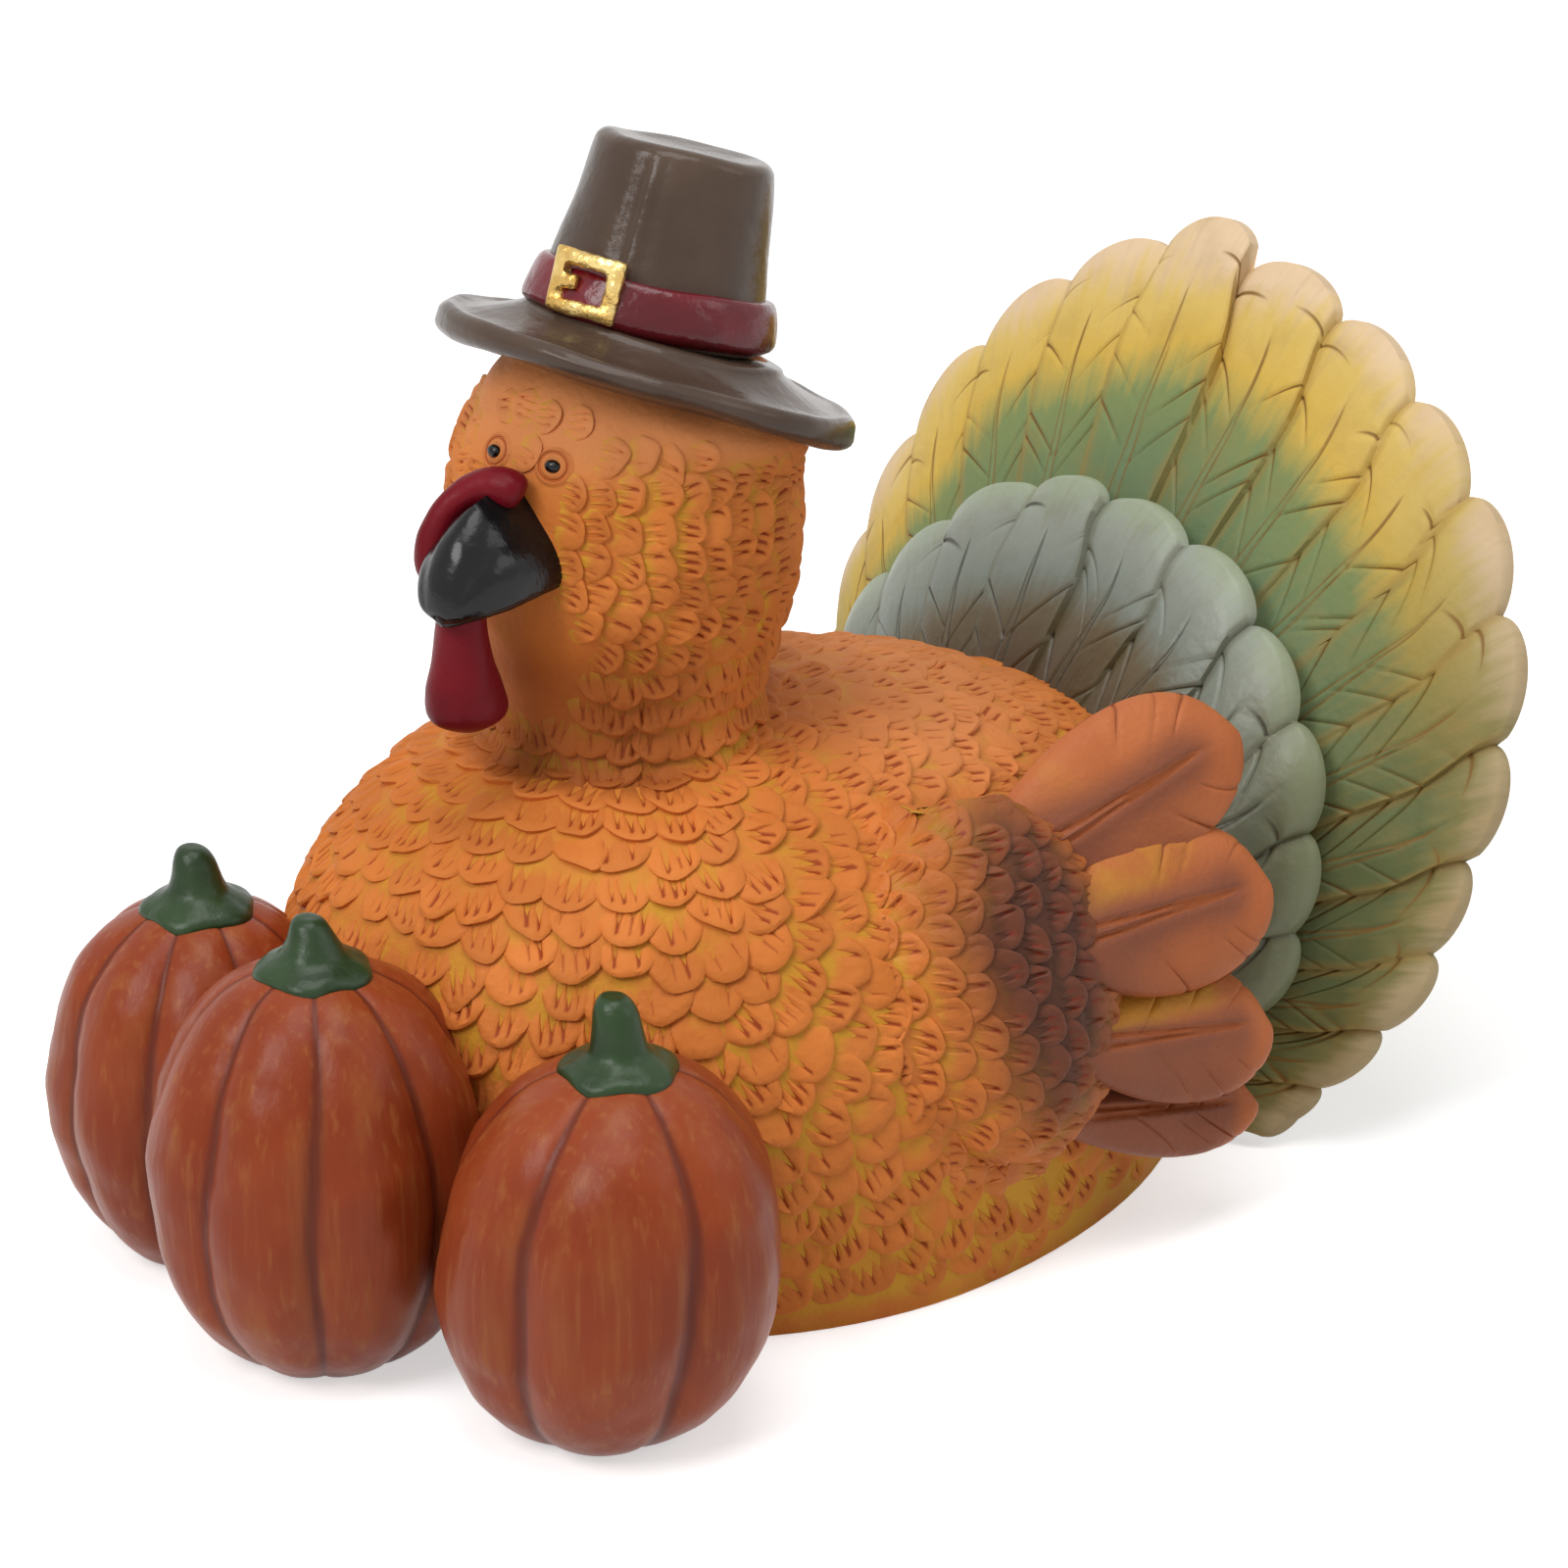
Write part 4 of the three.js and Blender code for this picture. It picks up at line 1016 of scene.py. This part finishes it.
def flightFeather(bm, marks, feather, rng):
    root, tip = Vector(feather["root"]), Vector(feather["tip"])
    length = (tip - root).length
    ahead = (tip - root).normalized()
    out = (Vector((1, 0, 0)) - ahead * ahead.x).normalized()
    up = out.cross(ahead)
    shoulder = flightForm["shoulder"]

    def half(y):
        t = min(1, max(0, y / length))
        if t < shoulder:
            share = mix(flightForm["rootShare"], 1, math.sin(t / shoulder * math.pi / 2))
        else:
            share = math.sqrt(max(0, 1 - ((t - shoulder) / (1 - shoulder)) ** 2.2))
        return share * feather["width"] / 2

    def rowPlace(row):  # rows lie closer towards the tip
        return math.sin(row * math.pi / 2) ** 0.9

    cuts = slits(rng, flightForm["cuts"], 0.3, 0.85, flightForm["rows"], rowPlace)
    seed = rng.uniform(0, 50)
    start = len(bm.verts)
    bmesh.ops.create_grid(bm, x_segments=flightForm["columns"], y_segments=flightForm["rows"], size=1)
    bm.verts.ensure_lookup_table()
    sheet = bm.verts[start:]
    faces = {f for v in sheet for f in v.link_faces}
    grown = bmesh.ops.extrude_face_region(bm, geom=list(faces), use_keep_orig=True)["geom"]
    front = {g for g in grown if isinstance(g, bmesh.types.BMVert)}
    bm.verts.ensure_lookup_table()
    for v in bm.verts[start:]:
        c = v.co.x
        row = (v.co.y + 1) / 2
        fold = slitForm["chevron"] / length * (1 - abs(c)) * ease(0, 0.3, row) * ease(1, 0.8, row)
        t = rowPlace(row) - fold
        y = t * length * 0.997
        x = c * max(half(y), 0.25)
        body = root + ahead * y + up * x
        tuck = -flightForm["tilt"] * c  # the lower edge stands out over the next feather
        edge = math.sqrt(max(0, 1 - min(1, abs(c)) ** 6)) * math.sqrt(max(0, 1 - t ** 18))
        if v in front:
            line = 0.1 * feather["width"] * (1 - t / 0.86)
            ridge = bell(abs(x - 0.3) - max(0, line * 0.5), 0.34) * ease(0.9, 0.78, t) * ease(0.05, 0.2, t)
            crest = bell(x - 0.3, 0.7 + line) * ease(0.9, 0.6, t)
            carved = slitDepth(cuts, c, rowPlace(row), (1 - abs(c)) * half(y), length)
            rise = flightForm["thick"] / 2 * edge + flightForm["crown"] * (1 - c * c)
            rise += 0.35 * lumps((x, y, seed), 5) + crest * 0.35
            rise -= ridge * flightForm["quill"] + carved * slitForm["depth"]
            v[marks["cut"]] = max(carved, ridge)
            yellow = feather["yellow"] * ease(-0.15, 0.5, c) * ease(1.05, 0.5, t)
            washAndShade = 0.95 * bell(x - 0.6, 3.0) * ease(1.0, 0.75, t) + 0.3 * ease(0.55, 0.2, t)
            washAndShade += feather["brown"] * ease(0.1, -0.7, c) * ease(1.0, 0.6, t)
            v[marks["washAndShade"]] = washAndShade * (1 - 0.7 * min(1, yellow))
            v[marks["hollow"]] = yellow
            v[marks["tone"]] = 0.5 + 0.4 * lumps((x, y, seed), 7)
        else:
            rise = -flightForm["thick"] / 2 * edge
            v[marks["tone"]] = 0.4
        v.co = body + out * (rise + tuck)


def wingLump():
    bm = bmesh.new()
    bmesh.ops.create_uvsphere(bm, u_segments=56, v_segments=36, radius=1)
    shape = wingFrame @ Matrix.Translation(wingForm["coverts"]) @ Matrix.Diagonal((*wingForm["half"], 1))
    bmesh.ops.transform(bm, matrix=shape, verts=bm.verts)
    tree = BVHTree.FromBMesh(bm)
    bm.free()
    return tree


lump = wingLump()


def sideSpot(y, z):  # the body and the lump of the wing as one soft surface
    hits = [tree.ray_cast(Vector((90, y, z)), Vector((-1, 0, 0)))[0] for tree in (bodySurface, lump)]
    body, bulge = (hit.x if hit else 0 for hit in hits)
    soft = max(0, wingForm["blend"] - abs(body - bulge))
    return Vector((max(body, bulge) + soft * soft / wingForm["blend"] / 4, y, z))


def covertPatch(bm, marks):
    (my, mz), (hy, hz) = wingForm["patchMiddle"], wingForm["patchHalf"]
    bmesh.ops.create_grid(bm, x_segments=44, y_segments=44, size=1)
    for v in bm.verts:
        px, py = onDisc(v.co.x, v.co.y)
        v.co = sideSpot(my + hy * px, mz + hz * py)
        v.co.x += wingForm["patchLift"] - ease(0.92, 1, math.hypot(px, py))
        v[marks["hollow"]] = 0.45
        v[marks["tone"]] = 0.4
    rim = [e for e in bm.edges if e.is_boundary]
    for part in bmesh.ops.extrude_edge_only(bm, edges=rim)["geom"]:  # a skirt closes the gap to the body
        if isinstance(part, bmesh.types.BMVert):
            spot, out, _, _ = bodySurface.find_nearest(part.co)
            part.co = spot - out * wingForm["skirt"]
    bmesh.ops.recalc_face_normals(bm, faces=bm.faces)
    if sum(f.normal.x for f in bm.faces) < 0:
        bmesh.ops.reverse_faces(bm, faces=bm.faces)


def evenly(path, step, offset):  # places at even distances along a path
    left = offset
    for here, there in zip(path, path[1:]):
        gap = (there - here).length
        while left <= gap:
            yield here.lerp(there, left / gap)
            left += step
        left -= gap


def covertSpots(rng):
    (my, mz), (hy, hz) = wingForm["patchMiddle"], wingForm["patchHalf"]
    step = wingScales["rowStep"]
    column = [sideSpot(my, mz + hz * (k / 40 - 1)) for k in range(81)]
    for k, level in enumerate(evenly(column, wingScales["pitch"] / 2, 0.5)):
        line = [sideSpot(my + hy * (i / 40 - 1), level.z) for i in range(81)]
        line = [spot for spot in line if patchShare(spot.y, spot.z) < 1]
        first = step * (k % 2 + rng.uniform(-0.1, 0.1)) + 0.3
        for spot in evenly(line, 2 * step, first):
            yield spot, Vector((0, 1, -0.18)), rng.uniform(0.92, 1.06), 1.0


for side, sign in (("left", 1), ("right", -1)):
    rng = random.Random(wingForm["seeds"][side])
    flip = Matrix.Diagonal((sign, 1, 1, 1))
    bm, marks = newCarving()
    covertPatch(bm, marks)
    surface = BVHTree.FromBMesh(bm)
    spots = list(covertSpots(rng))
    layScales(bm, surface, spots, wingScales, rng)
    bmesh.ops.transform(bm, matrix=flip, verts=bm.verts)
    if sign < 0:
        bmesh.ops.reverse_faces(bm, faces=bm.faces)
    finishPiece(bm, "coverts" + side.capitalize(), covertPaint, [f"wing_{side}_coverts"])
    print("covert scales", len(spots))
    for i, feather in enumerate(flightForm["feathers"]):
        bm, marks = newCarving()
        flightFeather(bm, marks, feather, rng)
        bmesh.ops.transform(bm, matrix=flip @ wingFrame, verts=bm.verts)
        bmesh.ops.recalc_face_normals(bm, faces=bm.faces)
        for v in bm.verts:
            v.co.z = max(0.0, v.co.z)
        name = f"flightFeather{side.capitalize()}{i + 1}"
        finishPiece(bm, name, flightPaint, [f"wing_{side}_feather_{i + 1}"], 60)


# tail: two dished fans of carved feathers, the middle ones over those to the sides
outerFan = {
    "y": 50.6, "lean": math.radians(19.5), "centreHeight": 32.5, "halfWidth": 46.0, "halfHeight": 49.2,
    "rootHeight": 5.7, "rootShare": 0.36, "lowReach": 36.0, "pitch": math.radians(10.2), "dish": 19.5,
    "rootThick": 5.0, "tipThick": 1.8, "cup": 14.0, "cupFrom": math.radians(72),
    "lengths": (0.97, 0.97, 0.97, 0.965, 0.97, 0.975, 0.985, 0.99, 0.995, 1.014,
                0.98, 0.972, 0.975, 1.0, 1.01, 0.995, 0.97, 0.98, 0.97, 0.97),
    "apex": 9, "columns": 44, "rows": 92, "cuts": 4, "crown": 0.35, "notch": 0.055, "step": 0.46, "seed": 41,
}
innerFan = {
    "y": 43.4, "lean": math.radians(14), "centreHeight": 25.7, "halfWidth": 34.2, "halfHeight": 31.7,
    "rootHeight": 10.0, "rootShare": 0.25, "lowReach": 0.0, "pitch": math.radians(14.3), "dish": 19.6,
    "rootThick": 2.0, "tipThick": 1.8, "cup": 0.0, "cupFrom": math.radians(90),
    "lengths": (1.0, 0.99, 1.0, 0.985, 1.0, 1.005, 0.995, 1.0, 0.99, 1.0, 0.99, 1.0),
    "apex": 5, "columns": 44, "rows": 84, "cuts": 3, "crown": 0.55, "notch": 0.06, "step": 0.7, "seed": 43,
}
fanForm = {
    "quillGap": 1.2, "quillDepth": 0.22, "corner": 0.2, "hidden": 0.22, "hiddenRows": 0.06, "backRows": 6,
    "lowest": math.radians(130), "paintTurn": math.radians(120), "scallop": 0.54, "rimDrop": 0.9,
}


def fanReach(fan, turn):
    rise = fan["rootHeight"] - fan["centreHeight"]
    a, b = math.sin(turn) / fan["halfWidth"], math.cos(turn) / fan["halfHeight"]
    square = a * a + b * b
    shift = rise / fan["halfHeight"] * b
    rest = (rise / fan["halfHeight"]) ** 2 - 1
    return max(fan["lowReach"], (-shift + math.sqrt(shift * shift - square * rest)) / square)


def fanRow(row):  # few rows where the fan lies behind the others
    few, part = fanForm["hiddenRows"], fanForm["hidden"]
    return row / few * part if row < few else mix(part, 1, (row - few) / (1 - few))


def fanFeathers(fan):  # the cuts and small differences of each feather
    rng = random.Random(fan["seed"])
    feathers = []
    for length in fan["lengths"]:
        cuts = slits(rng, fan["cuts"], 0.42, 0.97, fan["rows"], fanRow)
        feathers.append({"cuts": cuts, "length": length, "bow": rng.uniform(-0.4, 0.4), "tone": rng.random()})
    return feathers


def fanSpot(fan, feathers, u, row, behind):  # a point of the fan and the values painted there
    count, pitch = len(feathers), fan["pitch"]
    i = min(count - 1, int(u * count + 1e-6))
    c = u * count - i - 0.5
    feather = feathers[i]
    lapLeft, lapRight = (1 if i > fan["apex"] else -1), (1 if i >= fan["apex"] else -1)
    lap = mix(lapLeft, lapRight, c + 0.5)  # which way the feathers overlap here
    outward = c * lap
    rawTurn = (i - (count - 1) / 2 + c) * pitch
    length = fanReach(fan, rawTurn) * feather["length"] * (1 - fan["rootShare"])
    fold = slitForm["chevron"] / length * (1 - 2 * abs(c)) * ease(0, 0.3, row) * ease(1, 0.86, row)
    s = row - fold
    turn = rawTurn + lap * pitch * fanForm["corner"] * (0.5 - ease(0.72, 1.0, s))
    edge = fanReach(fan, turn) * feather["length"]
    scallop = 1 - fan["notch"] * (1 - math.sqrt(1 - (c / fanForm["scallop"]) ** 2)) * ease(0.7, 0.97, s)
    reach = mix(fan["rootShare"], 1, s) * scallop
    radius = reach * edge
    low = max(0, abs(turn) - fan["cupFrom"]) / (fanForm["lowest"] - fan["cupFrom"])
    forward = fan["dish"] * (1 - min(1, reach)) + fan["cup"] * low ** 1.4 * s
    values = {"tone": feather["tone"], "span": reach, "turn": turn / fanForm["paintTurn"]}
    if behind:
        forward -= mix(fan["rootThick"], fan["tipThick"], s)
    else:
        x = c * pitch * radius
        inside = (0.5 - abs(c)) * pitch * radius
        line = fanForm["quillGap"] * max(0, 0.88 - s)
        groove = bell(abs(x - feather["bow"]) - line, 0.2) * ease(0.92, 0.82, s)
        crest = bell(x - feather["bow"], line + 0.3) * ease(0.95, 0.6, s)
        slit = slitDepth(feather["cuts"], c, row, inside, length)
        grow = min(1, s * 1.4)
        forward += (fan["crown"] * (1 - 4 * c * c) + fan["step"] * outward) * grow
        forward += 0.2 * lumps((x, radius, i * 7.3), 6) + 0.15 * crest
        forward -= fanForm["quillDepth"] * groove + slitForm["depth"] * slit
        forward -= fanForm["rimDrop"] * ease(0.93, 1.03, s)
        values["cut"] = max(slit, groove * 0.72)
        values["hollow"] = bell(inside, 0.8)
    return Vector((radius * math.sin(turn), -forward, fan["rootHeight"] + radius * math.cos(turn))), values


def fanFace(bm, marks, fan, feathers, rows, behind):
    start = len(bm.verts)
    extra = 0 if behind else 1  # the last row of the front turns over the rim to the back
    bmesh.ops.create_grid(bm, x_segments=len(feathers) * fan["columns"], y_segments=rows + extra, size=1)
    bm.verts.ensure_lookup_table()
    sheet = bm.verts[start:]
    half = max(v.co.x for v in sheet)
    for v in sheet:
        u, row = (v.co.x / half + 1) / 2, (v.co.y / half + 1) / 2
        rim = min(u, 1 - u, row, 1 - row) < 1e-4
        row = min(1, row * (rows + extra) / rows)
        v.co, values = fanSpot(fan, feathers, u, row if behind else fanRow(row), behind or rim)
        for key, value in values.items():
            v[marks[key]] = value


def buildFan(fan, name, paint, node):
    feathers = fanFeathers(fan)
    bm, marks = newCarving()
    fanFace(bm, marks, fan, feathers, fan["rows"], False)
    fanFace(bm, marks, fan, feathers, fanForm["backRows"], True)
    bmesh.ops.remove_doubles(bm, verts=bm.verts, dist=0.001)
    stand = Matrix.Translation((0, fan["y"], 0)) @ Matrix.Rotation(-fan["lean"], 4, "X")
    bmesh.ops.transform(bm, matrix=stand, verts=bm.verts)
    for v in bm.verts:
        v.co.z = max(0.0, v.co.z)
    bmesh.ops.recalc_face_normals(bm, faces=bm.faces)
    finishPiece(bm, name, paint, [node], 60)


buildFan(outerFan, "tailOuterFan", outerTailPaint, "tail_outer_fan")
buildFan(innerFan, "tailInnerFan", innerTailPaint, "tail_inner_fan")
print("tail ready")

# pumpkins: lobed, with a stem on a wavy flange
pumpkinForm = {"ribDepth": 0.12, "sharp": 0.5, "grooveRound": 0.06, "fullness": 0.86, "foot": 0.045}
pumpkins = (
    {"side": "left", "at": (31.1, -36.7), "radius": 15.5, "height": 34.2, "lean": (1.3, 1.4),
     "lobes": 6, "groove": 48, "stem": 6.1},
    {"side": "middle", "at": (3.9, -45.9), "radius": 15.5, "height": 37.4, "lean": (0, 0),
     "lobes": 8, "groove": 6, "stem": 4.2},
    {"side": "right", "at": (-19.6, -40.8), "radius": 14.2, "height": 34.4, "lean": (0, 0),
     "lobes": 8, "groove": 30, "stem": 5.0},
)
stemForm = {"flange": 5.2, "foot": 2.5, "top": 1.95, "waves": 5, "waveDepth": 0.05, "bend": 0.7}


def pumpkinSkin(pumpkin):
    rng = random.Random(int(pumpkin["height"] * 10))
    bm, marks = newCarving()
    lobes = pumpkin["lobes"]
    swell = [rng.uniform(0.985, 1.02) for _ in range(lobes)]
    bmesh.ops.create_uvsphere(bm, u_segments=lobes * 24, v_segments=64, radius=1)
    first = math.asin(2 * pumpkinForm["foot"] - 1)
    for v in bm.verts:
        polar = math.asin(max(-1.0, min(1.0, v.co.z)))
        around = math.atan2(v.co.y, v.co.x) % (2 * math.pi)
        level = max(polar, first)
        height = (math.sin(level) - math.sin(first)) / (1 - math.sin(first)) * pumpkin["height"]
        drift = height / pumpkin["height"]
        bend = 0.09 * lumps((math.cos(around) * 2, math.sin(around) * 2, drift * 2.4), 1, pumpkin["height"])
        lobePlace = (around * lobes / (2 * math.pi) + bend) % lobes
        ridge = abs(math.sin(math.pi * lobePlace))
        lobe = min(1, math.hypot(ridge, pumpkinForm["grooveRound"]) ** pumpkinForm["sharp"])
        full = pumpkin["radius"] * max(0, math.cos(level)) ** pumpkinForm["fullness"]
        radius = full * (1 - pumpkinForm["ribDepth"] * (1 - lobe)) * mix(1, swell[int(lobePlace) % lobes], lobe)
        if polar < first:
            radius *= math.cos(polar) / math.cos(first)
        angle = around + math.radians(pumpkin["groove"])
        x, y = (a + far * drift for a, far in zip(pumpkin["at"], pumpkin["lean"]))
        spot = Vector((x + radius * math.cos(angle), y + radius * math.sin(angle), height))
        rough = 0.45 * lumps(spot, 7, pumpkin["height"]) + 0.16 * lumps(spot, 2.6, pumpkin["height"])
        spot += Vector((math.cos(angle), math.sin(angle), 0)) * rough * min(1, radius / 4)
        v.co = spot
        seam = 0.5 * bell(ridge, 0.34) + 0.6 * bell(ridge, 0.1)  # a dark line in a wider shade
        v[marks["hollow"]] = seam * ease(0.0, 0.1, drift) + 0.4 * ease(0.12, 0.0, drift)
        v[marks["tone"]] = 0.5
    bmesh.ops.remove_doubles(bm, verts=bm.verts, dist=0.002)
    bmesh.ops.recalc_face_normals(bm, faces=bm.faces)
    return bm


def stemSkin(pumpkin, skin):
    tall, flange = pumpkin["stem"], stemForm["flange"]
    top, foot = stemForm["top"], stemForm["foot"]
    x, y = (a + far for a, far in zip(pumpkin["at"], pumpkin["lean"]))
    profile = ((0, -1.2), (3, -1.2), (flange - 0.5, -0.7), (flange, 0.0), (flange - 0.25, 0.55), (flange - 1.1, 0.85),
               (foot + 0.5, 1.05), (foot, 1.75), (mix(foot, top, 0.55), tall * 0.55), (top, tall - 1.3),
               (top - 0.45, tall - 0.4), (0.9, tall), (0, tall))
    bm = spun(profile, 60, 3)
    for v in bm.verts:
        angle = math.atan2(v.co.y, v.co.x)
        far = math.hypot(v.co.x, v.co.y)
        wavy = ease(3.2, flange, far)
        stretch = 1 + wavy * stemForm["waveDepth"] * math.cos(stemForm["waves"] * angle + tall)
        v.co.x *= stretch
        v.co.y *= stretch
        ground = skin.ray_cast(Vector((x + v.co.x, y + v.co.y, 90)), Vector((0, 0, -1)))[0]
        drape = ease(foot, foot + 1.4, far)
        v.co.z += drape * (ground.z - pumpkin["height"]) + 0.12 * lumps(v.co, 1.8, tall)
        v.co.x -= stemForm["bend"] * (max(0, v.co.z) / tall) ** 2
    bmesh.ops.translate(bm, vec=(x, y, pumpkin["height"]), verts=bm.verts)
    return bm


for pumpkin in pumpkins:
    side = pumpkin["side"]
    bm = pumpkinSkin(pumpkin)
    stem = stemSkin(pumpkin, BVHTree.FromBMesh(bm))
    finishPiece(bm, "pumpkin" + side.capitalize(), pumpkinPaint, ["pumpkin_" + side], 60)
    finishPiece(stem, "pumpkinStem" + side.capitalize(), stemPaint, ["pumpkin_stem_" + side], 70)
print("pumpkins ready")

# floor, light and camera
stageForm = {
    "floorHalf": 3.0, "floorGlow": (0.55, 1.0), "fade": (0.25, 1.2),  # the far floor is as white as the sky
    "sky": 0.35, "aim": (0, 0, 0.04),
    "lights": {
        "leftLight": {"at": (0.03, -0.64, 0.69), "size": 0.45, "power": 4.0},
        "rightLight": {"at": (0.55, 0.38, 0.5), "size": 0.4, "power": 0.6},
        "topLight": {"at": (0.1, -0.05, 0.95), "size": 0.6, "power": 3.6},
    },
}


def inView(tree):  # 1 for rays from the camera, also by way of a mirror or glass
    rays = addNode(tree, "ShaderNodeLightPath").outputs
    indirect = sums(tree, "MAXIMUM", rays["Is Glossy Ray"], rays["Is Transmission Ray"])
    return sums(tree, "MAXIMUM", rays["Is Camera Ray"], indirect)


def floorPaint():
    paint = bpy.data.materials.new("floorPaint")
    paint.use_nodes = True
    tree = paint.node_tree
    tree.nodes.clear()
    matt = addNode(tree, "ShaderNodeBsdfDiffuse", {"Color": (0.8, 0.8, 0.8, 1)})
    away = addNode(tree, "ShaderNodeVectorMath", {0: place(tree)}, operation="LENGTH").outputs["Value"]
    level = times(tree, inView(tree), fit(tree, away, *stageForm["fade"], *stageForm["floorGlow"]))
    glow = addNode(tree, "ShaderNodeEmission", {"Color": (1, 1, 1, 1), "Strength": level})
    both = addNode(tree, "ShaderNodeAddShader")
    tree.links.new(matt.outputs[0], both.inputs[0])
    tree.links.new(glow.outputs[0], both.inputs[1])
    end = addNode(tree, "ShaderNodeOutputMaterial")
    tree.links.new(both.outputs[0], end.inputs["Surface"])
    return paint


bm = bmesh.new()
bmesh.ops.create_grid(bm, x_segments=2, y_segments=2, size=stageForm["floorHalf"])
floorMesh = bpy.data.meshes.new("floor")
bm.to_mesh(floorMesh)
bm.free()
floorMesh.materials.append(floorPaint())
floor = addObject("floor", floorMesh)

world = bpy.data.worlds.new("studio")
bpy.context.scene.world = world
world.use_nodes = True
tree = world.node_tree
tree.nodes["Background"].inputs["Color"].default_value = (1, 1, 1, 1)
strength = addNode(tree, "ShaderNodeMix", {0: inView(tree), 2: stageForm["sky"], 3: 1.0})
tree.links.new(strength.outputs[0], tree.nodes["Background"].inputs["Strength"])

for name, light in stageForm["lights"].items():
    lamp = bpy.data.lights.new(name, "AREA")
    lamp.shape = "DISK"
    lamp.size = light["size"]
    lamp.energy = light["power"]
    holder = addObject(name, lamp)
    holder.location = light["at"]
    holder.rotation_euler = (Vector(stageForm["aim"]) - Vector(light["at"])).to_track_quat("-Z", "Y").to_euler()

cameraForm = {
    "eye": (0.382877, -0.337340, 0.250489), "right": (0.676, 0.737, 0.0), "ahead": (-0.682, 0.625, -0.381),
    "lens": 136.74, "sensor": 36, "clipStart": 0.01,
}
lens = bpy.data.cameras.new("photoCamera")
lens.lens = cameraForm["lens"]
lens.sensor_width = cameraForm["sensor"]
lens.clip_start = cameraForm["clipStart"]
camera = addObject("photoCamera", lens)
ahead = Vector(cameraForm["ahead"]).normalized()
right = (Vector(cameraForm["right"]) - ahead * Vector(cameraForm["right"]).dot(ahead)).normalized()
upward = right.cross(ahead)
camera.matrix_world = Matrix.Translation(cameraForm["eye"]) @ Matrix((right, upward, -ahead)).transposed().to_4x4()
bpy.context.scene.camera = camera
bpy.context.scene.view_settings.view_transform = "Standard"

bpy.data.meshes.remove(template)
